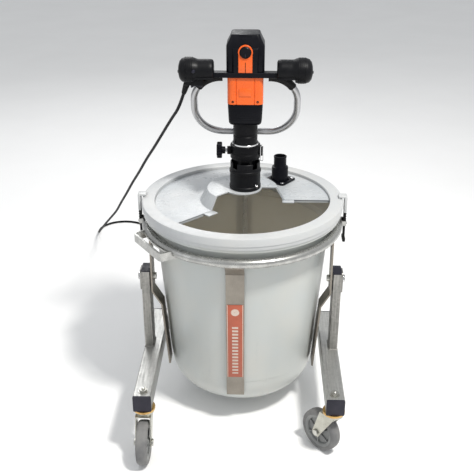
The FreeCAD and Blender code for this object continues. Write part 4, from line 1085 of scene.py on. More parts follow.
@dataclass
class Casters:
    """Four swivel casters with grey rubber tyres on ribbed plastic hubs."""

    tyre: tuple[tuple[float, float], ...] = (
        (0.0492, -0.0150), (0.0540, -0.0160), (0.0590, -0.0145), (0.0612, -0.0118), (0.0622, -0.0070),
        (0.0625, 0.0), (0.0622, 0.0070), (0.0612, 0.0118), (0.0590, 0.0145), (0.0540, 0.0160),
        (0.0492, 0.0150),
        (0.0492, -0.0150))
    hub: tuple[tuple[float, float], ...] = (
        (0.0052, -0.0180), (0.0110, -0.0180), (0.0128, -0.0165), (0.0132, -0.0090), (0.0380, -0.0070),
        (0.0405, -0.0120), (0.0465, -0.0146), (0.0491, -0.0146), (0.0491, 0.0146), (0.0465, 0.0146),
        (0.0405, 0.0120), (0.0380, 0.0070), (0.0132, 0.0090), (0.0128, 0.0165), (0.0110, 0.0180),
        (0.0052, 0.0180), (0.0052, -0.0180))
    ribs: int = 6
    fork_half: float = 0.022

    def wheel(self) -> tuple[bpy.types.Object, bpy.types.Object]:
        """Model one tyre and one hub, lying with their axis along Z."""
        tyre = Bench.turned("tyre_form", self.tyre, steps=72, angle=40.0)
        hub = Bench.turned("hub_form", self.hub, steps=60)
        rib = Bench.block("hub_rib", (0.0115, -0.0014, 0.0060), (0.0410, 0.0014, 0.0128), edge=0.0005,
                          segments=2)
        pieces = [hub, rib]
        for side in (1, -1):
            for index in range(self.ribs):
                turn = Matrix.Rotation(math.radians(360 / self.ribs * index), 4, "Z")
                flip = Matrix.Rotation(math.pi, 4, "X") if side < 0 else Matrix()
                if side > 0 and index == 0:
                    continue
                pieces.append(Bench.copy(rib, "hub_rib", turn @ flip))
        return tyre, Bench.join("hub_form", pieces)

    def build(self) -> None:
        """Place a wheel on every axle and hexagon nuts on every fork."""
        tyre, hub = self.wheel()
        for tag in CASTERS:
            roll = joint(tag + "_roll")
            turn = Vector(roll["axis"]).to_track_quat("Z", "X").to_matrix().to_4x4()
            move = Matrix.Translation(Vector(roll["pos_m"])) @ turn
            Bench.dress(Bench.copy(tyre, tag + "_tyre_tread", move), "tyre_rubber", "wheel_" + tag,
                        "grey_tyre",
                        tag + "_tyre")
            Bench.dress(Bench.copy(hub, tag + "_hub_ribbed", move), "hub_plastic", "wheel_" + tag,
                        "hub_plastic",
                        tag + "_hub")
            nut = Bench.hexagon("axle_nut", 0.0208, 0.0, 0.0052, (0, 0, self.fork_half))
            other = Bench.copy(nut, "axle_nut", Matrix.Rotation(math.pi, 4, "X"))
            nuts = Bench.join(tag + "_axle_nuts", [nut, other])
            nuts.data.transform(move)
            Bench.dress(nuts, "bolt_zinc", "caster_" + tag, "zinc_steel")
            Bench.redress("fork_zinc", tag + "_fork")
        for form in (tyre, hub):
            bpy.data.objects.remove(form)


# ---- Bucket and lid ----------------------------------------------------------------------------


@dataclass
class Bucket:
    """Tapered polyethylene bucket with a stepped neck and a rolled flange."""

    wall: float = 0.004
    corner: float = 0.100
    low_radius: float = 0.212
    high_radius: float = 0.252
    neck_radius: float = 0.264
    flange: float = 0.284
    lean: float = 4.54
    neck_drop: float = 0.064

    def build(self) -> None:
        """Turn the bucket's wall."""
        low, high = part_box("bucket")
        shoulder = high.z - self.neck_drop
        centre = (self.low_radius + 0.0794 * self.corner - self.corner, low.z + self.corner)
        outer = round_corner(centre, self.corner, -90, -self.lean, 14)
        inner = round_corner(centre, self.corner - self.wall, -self.lean, -90, 14)
        crease = outer[-1][1] + 0.016
        radius_at = lambda level: outer[-1][0] + (level - outer[-1][1]) * math.tan(math.radians(self.lean))
        profile = [(0, low.z)] + outer + [
            (radius_at(crease), crease), (radius_at(crease) + 0.0014, crease + 0.0016),
            (radius_at(0.30), 0.30), (radius_at(0.42), 0.42), (self.high_radius - 0.0008, shoulder - 0.012),
            (self.high_radius, shoulder), (self.high_radius + 0.0024, shoulder + 0.0022),
            (self.neck_radius - 0.0024, shoulder + 0.0078), (self.neck_radius, shoulder + 0.0105),
            (self.neck_radius, high.z - 0.012), (self.neck_radius + 0.003, high.z - 0.0105),
            (self.flange - 0.003, high.z - 0.0105), (self.flange - 0.0006, high.z - 0.0085),
            (self.flange, high.z - 0.006), (self.flange - 0.0004, high.z - 0.0015),
            (self.flange - 0.002, high.z), (self.neck_radius - self.wall, high.z),
            (self.neck_radius - self.wall, shoulder + 0.011),
            (self.high_radius - self.wall, shoulder + 0.001)] + inner + [(0, low.z + self.wall)]
        wall = Bench.turned("bucket_wall", profile, steps=160, angle=28.0)
        Bench.dress(wall, "bucket_poly", "cradle", "white_poly", "bucket")
        # The inside faces take the lighter copy of the polyethylene: painted light where the lid shades the
        # inside.
        wall.data.materials.append(FINISHES["bucket_inside_lightened"])
        reach = self.neck_radius - self.wall / 2
        for face in wall.data.polygons:
            out = Vector((face.center.x, face.center.y, 0))
            wall_inside = face.normal.dot(out) < -0.2 * out.length
            floor_inside = face.normal.z > 0.9 and face.center.z < low.z + 0.02
            face.material_index = int((wall_inside or floor_inside) and out.length < reach)


@dataclass
class Lid:
    """Rim that snaps over the bucket and a cover over five eighths of it, with folded edges and ribs."""

    rim_inner: float = 0.253
    rim_outer: float = 0.290
    hub_outer: float = 0.122
    hub_inner: float = 0.100
    disc: float = 0.056
    sheet: float = 0.0035
    fold: float = 0.009
    arc: float = 225.0
    steps: int = 64

    def rim(self) -> None:
        """Turn the rim."""
        low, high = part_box("lid_rim")
        top = high.z
        profile = [
            (self.rim_inner, top - 0.017), (self.rim_inner, top - 0.0015), (self.rim_inner + 0.0015, top),
            (self.rim_outer - 0.0045, top), (self.rim_outer - 0.0012, top - 0.0012),
            (self.rim_outer, top - 0.0045),
            (self.rim_outer, top - 0.0215), (self.rim_outer - 0.0022, top - 0.0235),
            (self.rim_outer - 0.0022, low.z + 0.0015), (self.rim_outer - 0.0030, low.z),
            (self.rim_outer - 0.0055, low.z), (self.rim_outer - 0.0055, top - 0.0045),
            (self.rim_inner + 0.0045, top - 0.0045), (self.rim_inner + 0.0040, top - 0.017),
            (self.rim_inner, top - 0.017)]
        ring = Bench.turned("lid_ring", profile, steps=160, angle=35.0)
        Bench.dress(ring, "lid_poly", "cradle", "lid_poly", "lid_rim")

    def fold_strip(self, angle: float, level: float) -> bpy.types.Object:
        """Folded edge along one side of the opening: a strip that hangs from the cover."""
        strip = Bench.block("fold", (self.hub_outer + 0.002, -0.0030, level - self.fold),
                            (self.rim_inner - 0.0005, 0.0, level - 0.0004), edge=0.0010)
        if angle == 0.0:
            strip.data.transform(Matrix.Translation((0, 0.0030, 0)))
        strip.data.transform(Matrix.Rotation(math.radians(angle), 4, "Z"))
        return strip

    def flap(self, angle: float, spread: float, level: float) -> bpy.types.Object:
        """Ragged flap left beside the hub where the opening was cut out.

        Args:
            angle: side of the opening that it grows from, in degrees.
            spread: width towards the opening's middle, in degrees, negative going round from the other side.
            level: height of the cover.

        Returns:
            The flap.
        """
        reach = math.tan(math.radians(spread)) * self.hub_outer
        sheet = Bench.block("flap", (self.hub_outer - 0.006, min(0.0, -reach), level - self.sheet),
                            (self.hub_outer + 0.028, max(0.0, -reach), level - 0.0003))
        Bench.bevel(sheet, 0.0006, 2)
        sheet.data.transform(Matrix.Rotation(math.radians(angle), 4, "Z"))
        return sheet

    def cover(self) -> None:
        """Turn the cover, cut its opening out and add folds, ribs and the shaft collar."""
        low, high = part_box("lid_cover")
        top = high.z
        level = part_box("lid_rim")[1].z - 0.009
        profile = [
            (self.rim_inner - 0.0003, level - self.sheet), (self.rim_inner - 0.0003, level - 0.0008),
            (self.rim_inner - 0.0011, level), (self.hub_outer + 0.003, level),
            (self.hub_outer, level + 0.0012),
            (self.hub_inner + 0.0012, top - 0.0016), (self.hub_inner - 0.002, top), (self.disc, top),
            (self.disc, top - self.sheet), (self.hub_inner - self.sheet, top - self.sheet),
            (self.hub_outer - self.sheet, level - self.sheet),
            (self.rim_inner - 0.0003, level - self.sheet)]
        sector = Bench.turned("cover_sector", profile, steps=self.steps, angle=30.0)
        Bench.pick(sector, lambda centre, _: math.degrees(math.atan2(centre.y, centre.x)) % 360 > self.arc)
        bpy.ops.mesh.delete(type="FACE")
        bpy.ops.mesh.select_all(action="SELECT")
        bpy.ops.mesh.fill_holes(sides=0)
        bpy.ops.mesh.select_all(action="SELECT")
        bpy.ops.mesh.normals_make_consistent(inside=False)
        bpy.ops.object.mode_set(mode="OBJECT")
        Bench.smooth(sector, 30.0)
        x = middle("output_spindle").x
        disc = Bench.turned("cover_disc", [
            (self.disc, top - self.sheet), (self.disc, top), (0.0, top)][::-1] + [(0.0, top - self.sheet)],
            steps=self.steps)
        hole = Bench.turned("shaft_hole", [(0, -0.02), (0.012, -0.02), (0.012, 0.02), (0, 0.02)],
                            (x, 0, top),
                            Axis.Z, 40)
        Bench.carve(disc, hole)
        ring = Bench.turned("shaft_ring", [(0.0122, 0), (0.0165, 0), (0.0165, 0.0022), (0.0155, 0.0030),
                                           (0.0132, 0.0030), (0.0122, 0.0022), (0.0122, 0)], (x, 0, top),
                            Axis.Z, 48)
        pieces = [sector, disc, ring, self.fold_strip(0.0, level), self.fold_strip(self.arc, level)]
        pieces += [self.flap(-0.5, 8.0, level), self.flap(self.arc + 0.5, -10.0, level)]
        for index, angle in enumerate((28, 84, 112, 140, 168, 197)):
            rib = Bench.block("cover_rib", (self.hub_outer + 0.004, -0.0022, level - 0.0005),
                              (self.rim_inner - 0.006, 0.0022, level + 0.0034), edge=0.0012)
            rib.data.transform(Matrix.Rotation(math.radians(angle), 4, "Z"))
            pieces.append(rib)
        port = middle("port_flange_plate")
        bore = Bench.turned("port_hole", [(0, -0.03), (0.016, -0.03), (0.016, 0.03), (0, 0.03)],
                            (port.x, port.y, level), Axis.Z, 40)
        joined = Bench.join("lid_cover_moulding", pieces)
        Bench.carve(joined, bore)
        Bench.dress(joined, "cover_poly", "cradle", "lid_poly", "lid_cover")

    def build(self) -> None:
        """Build rim and cover."""
        self.rim()
        self.cover()


@dataclass
class DustPort:
    """Black dust extraction port: square flange, bright screws, gussets and stepped spigot."""

    turn: float = -35.0
    flange: float = 0.074
    thick: float = 0.005
    low_radius: float = 0.025
    high_radius: float = 0.019
    bore: float = 0.016
    inset: float = 0.010

    def build(self) -> None:
        """Model the port at its own origin and move it to the cover."""
        low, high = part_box("port_spigot")
        spot = middle("port_flange_plate")
        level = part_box("port_flange_plate")[0].z
        step = high.z - 0.034
        half = self.flange / 2
        move = placed((spot.x, spot.y, 0), self.turn)
        plate = Bench.block("port_plate", (-half, -half, level), (half, half, level + self.thick), 0.011,
                            0.0012)
        ridge = Bench.turned("port_foot", [
            (self.bore, level + 0.001), (self.low_radius + 0.006, level + 0.001),
            (self.low_radius + 0.006, level + 0.006), (self.low_radius + 0.003, level + 0.010),
            (self.bore, level + 0.010), (self.bore, level + 0.001)], steps=56)
        plate_piece = Bench.join("port_plate_moulding", [plate, ridge])
        Bench.carve(plate_piece, Bench.turned("port_bore", [(0, level - 0.01), (self.bore, level - 0.01),
                                                            (self.bore, level + 0.02), (0, level + 0.02)],
                                              steps=48))
        spigot = Bench.turned("port_spigot_moulding", [
            (self.bore, level + 0.005), (self.low_radius, level + 0.005), (self.low_radius, step - 0.003),
            (self.low_radius - 0.001, step), (self.high_radius + 0.0015, step + 0.001),
            (self.high_radius, step + 0.004),
            (self.high_radius, high.z - 0.006), (self.high_radius + 0.0006, high.z - 0.0045),
            (self.high_radius + 0.0006, high.z - 0.001), (self.high_radius - 0.0008, high.z),
            (self.bore, high.z), (self.bore, level + 0.005)], steps=56)
        gussets = []
        for index in range(8):
            web = Bench.block("port_web", (self.low_radius - 0.002, -0.0016, level + 0.004),
                              (self.low_radius + 0.005, 0.0016, level + 0.013), edge=0.0006, segments=2)
            Bench.pick_edges(web, lambda a,
                             b: min(a.z, b.z) > level + 0.01 and min(a.x, b.x) > self.low_radius)
            bpy.ops.transform.translate(value=(-0.0042, 0, 0))
            bpy.ops.object.mode_set(mode="OBJECT")
            web.data.transform(Matrix.Rotation(math.radians(45 * index + 22.5), 4, "Z"))
            gussets.append(web)
        spigot = Bench.join("port_spigot_moulding", [spigot] + gussets)
        screws = []
        for across in (-1, 1):
            for along in (-1, 1):
                centre = (across * (half - self.inset), along * (half - self.inset), level + self.thick)
                head = Bench.turned("port_screw", [(0, 0), (0.0056, 0), (0.0056, 0.0012), (0.0046, 0.0026),
                                                   (0.0026, 0.0031), (0, 0.0031)], centre, Axis.Z, 28)
                cross = [Bench.block("drive", (centre[0] - a, centre[1] - b, centre[2] + 0.0018),
                                     (centre[0] + a, centre[1] + b, centre[2] + 0.0050))
                         for a, b in ((0.0026, 0.0006), (0.0006, 0.0026))]
                screws.append(Bench.carve(head, *cross))
        heads = Bench.join("port_screw_heads", screws)
        for piece in (plate_piece, spigot, heads):
            piece.data.transform(move)
        Bench.dress(plate_piece, "black_plastic", "cradle", "port_plastic", "port_flange_plate")
        Bench.dress(spigot, "black_plastic", "cradle", "port_plastic", "port_spigot")
        Bench.dress(heads, "bright_steel", "cradle", "zinc_steel", "port_screws")


# ---- Cradle ------------------------------------------------------------------------------------


@dataclass
class Cradle:
    """Tube hoop, steel straps, tilt handle and rubber hold-down latches."""

    label_middle: float = -0.013
    label_width: float = 0.0462
    label_low: float = 0.180
    label_high: float = 0.432
    lean: float = 4.54
    latch_half: float = 0.013

    def label(self) -> None:
        """Lay a thin printed label on the front strap's sloping face."""
        low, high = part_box("front_strap")
        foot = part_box("bucket")[0].z
        radius = lambda level: 0.212 + 0.0794 * (level - foot) + 0.0008 + 0.005
        run = (self.label_high - self.label_low) / math.cos(math.radians(self.lean))
        plate = Bench.block("strap_label", (-self.label_width / 2, -0.0005, 0.0),
                            (self.label_width / 2, 0.0, run),
                            edge=0.0002, segments=2)
        bulge = 0.0024 * (0.552 - 0.024 - self.label_low) / 0.380
        plate.data.transform(placed((self.label_middle, -radius(self.label_low) - bulge, self.label_low),
                                    self.lean * 0.955, "X"))
        Bench.dress(plate, "strap_label", "cradle", "strap_steel")

    def latches(self) -> None:
        """Model one rubber latch with its pull tab, and mirror it."""
        low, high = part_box("right_latch")
        hoop = middle("hoop").z
        outer = high.x
        pin = joint("right_latch_turn")["pos_m"][0]
        half = self.latch_half
        grip = hoop + 0.036
        band = Bench.block("latch_band", (pin - 0.003, -half, hoop), (pin + 0.003, half, grip), edge=0.0012)
        sleeve = Bench.block("clip_sleeve", (pin - 0.0040, -half - 0.001, grip - 0.004),
                             (pin + 0.0040, half + 0.001, high.z - 0.001), edge=0.0016)
        hook = Bench.block("latch_hook", (low.x, -half, high.z - 0.006), (pin + 0.003, half, high.z),
                           edge=0.0018)
        lip = Bench.block("latch_lip", (low.x, -half, high.z - 0.0088),
                          (low.x + 0.004, half, high.z - 0.002),
                          edge=0.0010)
        ribs = [Bench.block("latch_rib", (pin + 0.002, -half + 0.002, level),
                            (pin + 0.0042, half - 0.002, level + 0.003),
                            edge=0.0008, segments=2) for level in (hoop + 0.010, hoop + 0.018,
                                                                   hoop + 0.026)]
        eye = Bench.turned("latch_eye", [(0.0034, -half), (0.0060, -half), (0.0060, half), (0.0034, half),
                                         (0.0034, -half)], (pin, 0, hoop), Axis.Y, 36)
        tab = Bench.block("latch_tab", (pin - 0.0030, -0.008, hoop - 0.050),
                          (pin + 0.0030, 0.008, hoop - 0.003),
                          edge=0.0012)
        bar = Bench.block("latch_bar", (pin - 0.0045, -0.018, hoop - 0.060),
                          (pin + 0.0045, 0.018, hoop - 0.046),
                          edge=0.0035, segments=4)
        tail = Bench.join("right_latch_tail", [tab, bar])
        rubber = Bench.join("right_latch_rubber", [band, eye] + ribs)
        clip = Bench.join("right_latch_clip", [sleeve, hook, lip])
        mirrored = Matrix.Scale(-1, 4, (1, 0, 0))
        for form, finish, slot in ((rubber, "latch_rubber", "black_rubber"),
                                   (clip, "lid_poly", "lid_poly")):
            twin = Bench.copy(form, form.name.replace("right", "left"), mirrored)
            Bench.dress(form, finish, "right_latch", slot, "right_latch")
            Bench.dress(twin, finish, "left_latch", slot, "left_latch")
        for form in (Bench.copy(tail, "left_latch_tail", mirrored), tail):
            Bench.dress(form, "latch_rubber", "cradle", "black_rubber")

    def welds(self) -> None:
        """Run weld beads where the straps meet the hoop."""
        low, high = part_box("front_strap")
        hoop = middle("hoop").z
        lines = [
            Bench.bead("strap_weld", [(low.x + 0.002, -0.2790, hoop - 0.0130),
                                      (high.x - 0.002, -0.2790, hoop - 0.0130)],
                       0.0024, 11),
            Bench.bead("strap_weld", [(-0.024, 0.2790, hoop - 0.0130), (0.024, 0.2790, hoop - 0.0130)],
                       0.0024, 12)]
        Bench.dress(Bench.join("cradle_welds", lines), "hoop_zinc", "cradle", "galvanised_steel")

    def build(self) -> None:
        """Dress the cradle's nodes and add its label, latches and welds."""
        Bench.redress("hoop_zinc", "hoop", "tilt_handle")
        Bench.redress("strap_steel", "front_strap", "rear_strap", "side_straps")
        self.label()
        self.latches()
        self.welds()


# ---- Mixer -------------------------------------------------------------------------------------


@dataclass
class MixerBody:
    """Stacked housings of the mixer: cup, clamp, neck, ribbed gear case, orange motor case and head."""

    head_corner: float = 0.012
    case_corner: float = 0.014
    stripe_half: float = 0.0185
    ring_radius: float = 0.0195
    nose_radius: float = 0.0285
    cup_wall: float = 0.006
    case_depth: float = 0.0430
    panel: float = 0.0045

    def cup(self) -> None:
        """Turn the collar cup with its bayonet notches and the small clamping bolt."""
        low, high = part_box("collar_cup")
        x = middle("collar_cup").x
        radius = (high.y - low.y) / 2
        inner = radius - self.cup_wall
        cup = Bench.turned("cup_form", [
            (0.0125, low.z), (radius - 0.002, low.z), (radius, low.z + 0.002), (radius, low.z + 0.010),
            (radius - 0.0015, low.z + 0.012), (radius - 0.0015, high.z - 0.032), (radius, high.z - 0.030),
            (radius, high.z - 0.0235), (radius - 0.0010, high.z - 0.022),
            (radius - 0.0028, high.z - 0.0215),
            (radius - 0.0028, high.z - 0.001), (radius - 0.0036, high.z), (inner + 0.0006, high.z),
            (inner, high.z - 0.001),
            (inner, low.z + 0.016), (0.0125, low.z + 0.016), (0.0125, low.z)], (x, 0, 0), Axis.Z, 72)
        cutters = []
        for side in (1, -1):
            across = x + side * radius * 0.62
            cutters.append(Bench.block("notch", (across - 0.006, -radius - 0.01, high.z - 0.016),
                                       (across + 0.006, -radius * 0.3, high.z + 0.01)))
        Bench.carve(cup, *cutters)
        Bench.bevel(cup, 0.0005, 2, 50.0)
        Bench.dress(cup, "collar_grey", "cradle", "grey_metal", "collar_cup")
        head = Bench.hexagon("cup_bolt", 0.010, 0.0, 0.004, (0, 0, 0))
        washer = Bench.turned("cup_washer", [(0, -0.0012), (0.0065, -0.0012), (0.0065, 0.0), (0, 0.0)],
                              steps=32)
        bolt = Bench.join("cup_bolt", [head, washer])
        bolt.data.transform(Matrix.Translation((x, 0, low.z + 0.012)) @ Matrix.Rotation(math.radians(48),
                                                                                        4, "Z")
                            @ placed((0, -radius + 0.0014, 0), 90, "X"))
        Bench.dress(bolt, "gear_steel", "cradle", "zinc_steel")

    def clamp(self) -> None:
        """Turn the clamp ring with its ears and boss, and the bright pin with its wire loop at the ear."""
        low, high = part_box("clamp_collar")
        x = middle("gearbox_neck").x
        radius = (high.y - low.y) / 2
        bore = self.nose_radius + 0.0003
        ring = Bench.turned("clamp_form", [
            (bore, low.z), (radius - 0.003, low.z), (radius - 0.0008, low.z + 0.001),
            (radius, low.z + 0.003),
            (radius, low.z + 0.0165), (radius - 0.0012, low.z + 0.0175), (radius - 0.0012, low.z + 0.0225),
            (radius, low.z + 0.0235), (radius, high.z - 0.003), (radius - 0.001, high.z - 0.0008),
            (radius - 0.003, high.z), (bore, high.z), (bore, low.z)], (x, 0, 0), Axis.Z, 80)
        level = (low.z + high.z) / 2
        ears = [
            Bench.block("clamp_ear", (x + radius - 0.006, -0.012, level - 0.013),
                        (x + radius + 0.0065, 0.012, level + 0.013), 0.0, 0.0025),
            Bench.turned("clamp_boss", [(0.0052, 0), (0.0105, 0), (0.0115, 0.001), (0.0120, 0.010),
                                        (0.0052, 0.010),
                                        (0.0052, 0)], (x - radius - 0.0085, 0, level), Axis.X, 40)]
        clamp = Bench.join("clamp_form", [ring] + ears)
        Bench.dress(clamp, "clamp_black", "cradle", "black_metal", "clamp_collar")
        Bench.clear()
        bpy.ops.mesh.primitive_torus_add(major_radius=0.0036, minor_radius=0.0012, major_segments=48,
                                         minor_segments=12)
        pin = Bench.settle(bpy.context.object)
        for side in (1, -1):
            Bench.pick(pin, lambda centre, _, side=side: centre.y * side > 0)
            bpy.ops.transform.translate(value=(0, side * 0.0185, 0))
            bpy.ops.object.mode_set(mode="OBJECT")
        pin.data.transform(placed((x + radius + 0.0040, -0.0165, level - 0.003), 90, "X"))
        Bench.smooth(pin, 60.0)
        stub = Bench.turned("pin_stub", [(0, -0.0150), (0.0022, -0.0150), (0.0022, 0.0150), (0, 0.0150)],
                            (x + radius + 0.002, -0.004, level + 0.001), Axis.Z, 20)
        Bench.dress(Bench.join("clamp_pin", [pin, stub]), "bright_steel", "cradle", "zinc_steel")

    def neck(self) -> None:
        """Turn the gearbox neck, its spigot and the bright ring at its root."""
        low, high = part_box("gearbox_neck")
        x = middle("gearbox_neck").x
        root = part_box("clamp_collar")[1].z
        wide = (high.y - low.y) / 2
        form = Bench.turned("neck_form", [
            (0.0110, low.z), (self.nose_radius - 0.001, low.z), (self.nose_radius, low.z + 0.001),
            (self.nose_radius, root + 0.0005), (wide - 0.002, root + 0.0010), (wide, root + 0.0040),
            (wide, root + 0.026), (wide - 0.0015, root + 0.0275), (wide - 0.0015, root + 0.0315),
            (wide, root + 0.033), (wide, high.z), (0.0110, high.z), (0.0110, low.z)], (x, 0, 0), Axis.Z, 72)
        Bench.dress(form, "clamp_black", "cradle", "black_metal", "gearbox_neck")
        ring = Bench.turned("neck_ring", [
            (wide - 0.004, root + 0.0004), (wide + 0.0030, root + 0.0004), (wide + 0.0036, root + 0.0012),
            (wide + 0.0036, root + 0.0042), (wide + 0.0030, root + 0.0050), (wide - 0.004, root + 0.0050),
            (wide - 0.004, root + 0.0004)], (x, 0, 0), Axis.Z, 72)
        Bench.dress(ring, "bright_steel", "cradle", "zinc_steel")

    def gear_case(self) -> None:
        """Model the gear case with its fine level ribs, narrower towards the neck."""
        low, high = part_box("gear_case")
        case = Bench.block("gear_case_form", (low.x + 0.001, -self.case_depth, low.z),
                           (high.x - 0.001, self.case_depth, high.z), self.case_corner)
        middle_x = (low.x + high.x) / 2
        share = 0.0455 / 0.0485
        Bench.pick(case, lambda centre, normal: normal.z < -0.9)
        bpy.ops.transform.resize(value=(share, share, 1), center_override=(middle_x, 0, low.z))
        bpy.ops.object.mode_set(mode="OBJECT")
        Bench.pick_edges(case, lambda a, b: max(a.z, b.z) < low.z + 1e-5)
        bpy.ops.mesh.bevel(offset=0.009, segments=5, affect="EDGES")
        bpy.ops.object.mode_set(mode="OBJECT")
        Bench.bevel(case, 0.0012, 2, 40.0)
        ribs = []
        height = high.z - low.z
        for index in range(7):
            level = low.z + 0.014 + 0.0056 * index
            ease = share + (1 - share) * (level - low.z) / height
            half_x = ((high.x - low.x) / 2 - 0.001) * ease + 0.0005
            half_y = self.case_depth * ease + 0.0005
            ribs.append(Bench.block("case_rib", (middle_x - half_x, -half_y, level),
                                    (middle_x + half_x, half_y, level + 0.0026), self.case_corner * ease,
                                    0.0007, 2))
        joined = Bench.join("gear_case_ribbed", [case] + ribs)
        Bench.dress(joined, "black_plastic", "cradle", "black_plastic", "gear_case")

    def motor_case(self) -> None:
        """Model the orange case with grooves, side flutes and a plain embossed plate."""
        low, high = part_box("motor_case")
        x = (low.x + high.x) / 2
        case = Bench.block("motor_case_form", (low.x, -self.case_depth, low.z),
                           (high.x, self.case_depth, high.z),
                           self.case_corner)
        front = -self.case_depth
        cutters = []
        for side in (1, -1):
            across = x + side * 0.0245
            cutters.append(Bench.block("groove", (across - 0.0011, front - 0.01, low.z - 0.01),
                                       (across + 0.0011, front + 0.0018, high.z + 0.01)))
            for index in range(3):
                level = low.z + 0.016 + 0.015 * index
                edge_x = high.x if side > 0 else low.x
                cutters.append(Bench.block("flute", (edge_x - 0.0016, -0.022, level),
                                           (edge_x + 0.0016, 0.022, level + 0.006)))
        Bench.carve(case, *cutters)
        Bench.bevel(case, 0.0012, 3)
        Bench.dress(case, "orange_plastic", "cradle", "orange_plastic", "motor_case")
        level = (low.z + high.z) / 2 - 0.003
        plate = Bench.block("case_plate", (x - 0.017, front - 0.0016, level - 0.011),
                            (x + 0.017, front + 0.002, level + 0.011), 0.0, 0.0012)
        Bench.dress(plate, "orange_plastic", "cradle", "orange_plastic")
        shade = Bench.block("case_seam", (low.x + 0.0012, front + 0.0012, low.z - 0.0006),
                            (high.x - 0.0012, self.case_depth - 0.0012, low.z + 0.0006), self.case_corner,
                            0.0)
        Bench.dress(shade, "black_plastic", "cradle", "black_plastic")

    def head(self) -> None:
        """Model the head with chamfers, vents, spine and the orange stripe round the dial."""
        low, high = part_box("head_cap")
        x = (low.x + high.x) / 2
        dial = joint("speed_dial_turn")["pos_m"]
        shoulder = high.z - 0.029
        brow = high.z - 0.011
        case = Bench.block("head_form", (low.x, low.y + self.panel, low.z), (high.x, high.y, shoulder),
                           self.head_corner)
        Bench.pick(case, lambda centre, normal: normal.z > 0.9)
        bpy.ops.mesh.extrude_region_move(TRANSFORM_OT_translate={"value": (0, 0, brow - shoulder)})
        bpy.ops.transform.resize(value=(0.82, 0.88, 1), center_override=(x, 0.004, brow))
        bpy.ops.mesh.extrude_region_move(TRANSFORM_OT_translate={"value": (0, 0, high.z - brow)})
        bpy.ops.transform.resize(value=(0.90, 0.92, 1), center_override=(x, 0.004, high.z))
        bpy.ops.object.mode_set(mode="OBJECT")
        Bench.bevel(case, 0.0026, 3, 25.0)
        cutters = []
        for side in (1, -1):
            edge_x = high.x if side > 0 else low.x
            for index in range(5):
                level = low.z + 0.022 + 0.0095 * index
                cutters.append(Bench.block("vent", (edge_x - 0.004, -0.026, level),
                                           (edge_x + 0.004, 0.030, level + 0.0045)))
        Bench.carve(case, *cutters)
        panel = Bench.block("head_panel", (x - 0.0350, low.y, low.z + 0.001),
                            (x + 0.0350, low.y + 0.010, shoulder - 0.004))
        Bench.pick_edges(panel, lambda a, b: max(a.y, b.y) < low.y + 1e-5 and abs(a.x - b.x) < 1e-5)
        bpy.ops.mesh.bevel(offset=0.0045, segments=1, affect="EDGES")
        bpy.ops.object.mode_set(mode="OBJECT")
        Bench.pick_edges(panel, lambda a,
                         b: max(a.y, b.y) < low.y + 1e-5 and min(a.z, b.z) > shoulder - 0.0041)
        bpy.ops.mesh.bevel(offset=0.0060, segments=2, affect="EDGES")
        bpy.ops.object.mode_set(mode="OBJECT")
        Bench.bevel(panel, 0.0008, 2, 25.0)
        spine = Bench.block("head_spine", (x - 0.0175, low.y + 0.011, high.z - 0.020),
                            (x + 0.0175, high.y - 0.014, high.z - 0.0002), 0.0, 0.0022, 3)
        joined = Bench.join("head_form", [case, panel, spine])
        Bench.dress(joined, "black_plastic", "cradle", "black_plastic", "head_cap")
        stripe = Bench.block("stripe", (x - self.stripe_half, low.y - 0.0012, low.z + 0.014),
                             (x + self.stripe_half, low.y + 0.003, dial[2] - 0.006), 0.0, 0.0009)
        ring = Bench.turned("stripe_ring", [
            (0.0160, -0.0020), (self.ring_radius - 0.0006, -0.0020), (self.ring_radius, -0.0014),
            (self.ring_radius, 0.004), (0.0160, 0.004), (0.0160, -0.0020)], (x, low.y, dial[2]), Axis.Y, 56)
        seat = Bench.turned("seat", [(0, -0.01), (0.0161, -0.01), (0.0161, 0.01), (0, 0.01)],
                            (x, low.y, dial[2]), Axis.Y, 56)
        line = Bench.block("line", (x - 0.0009, low.y - 0.004, low.z + 0.010),
                           (x + 0.0009, low.y + 0.001, dial[2] - 0.026))
        Bench.carve(stripe, seat, line)
        Bench.dress(Bench.join("head_stripe", [stripe, ring]), "orange_plastic", "cradle", "orange_plastic")

    def screws(self) -> None:
        """Set the case screws in their corners."""
        low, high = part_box("motor_case")
        spots = [(low.x + 0.0150, -self.case_depth, low.z + 0.008),
                 (high.x - 0.0150, -self.case_depth, low.z + 0.008)]
        heads = []
        for x, y, z in spots:
            head = Bench.turned("case_screw",
                                [(0, -0.0016), (0.0026, -0.0016), (0.0034, -0.0008), (0.0034, 0.002),
                                               (0, 0.002)], (x, y + 0.0008, z), Axis.Y, 24)
            drive = Bench.turned("drive", [(0, -0.01), (0.0015, -0.01), (0.0015, 0.0002), (0, 0.0002)],
                                 (x, y, z), Axis.Y, 6)
            heads.append(Bench.carve(head, drive))
        Bench.dress(Bench.join("case_screws", heads), "clamp_black", "cradle", "zinc_steel")

    def build(self) -> None:
        """Build every housing."""
        self.cup()
        self.clamp()
        self.neck()
        self.gear_case()
        self.motor_case()
        self.head()
        self.screws()


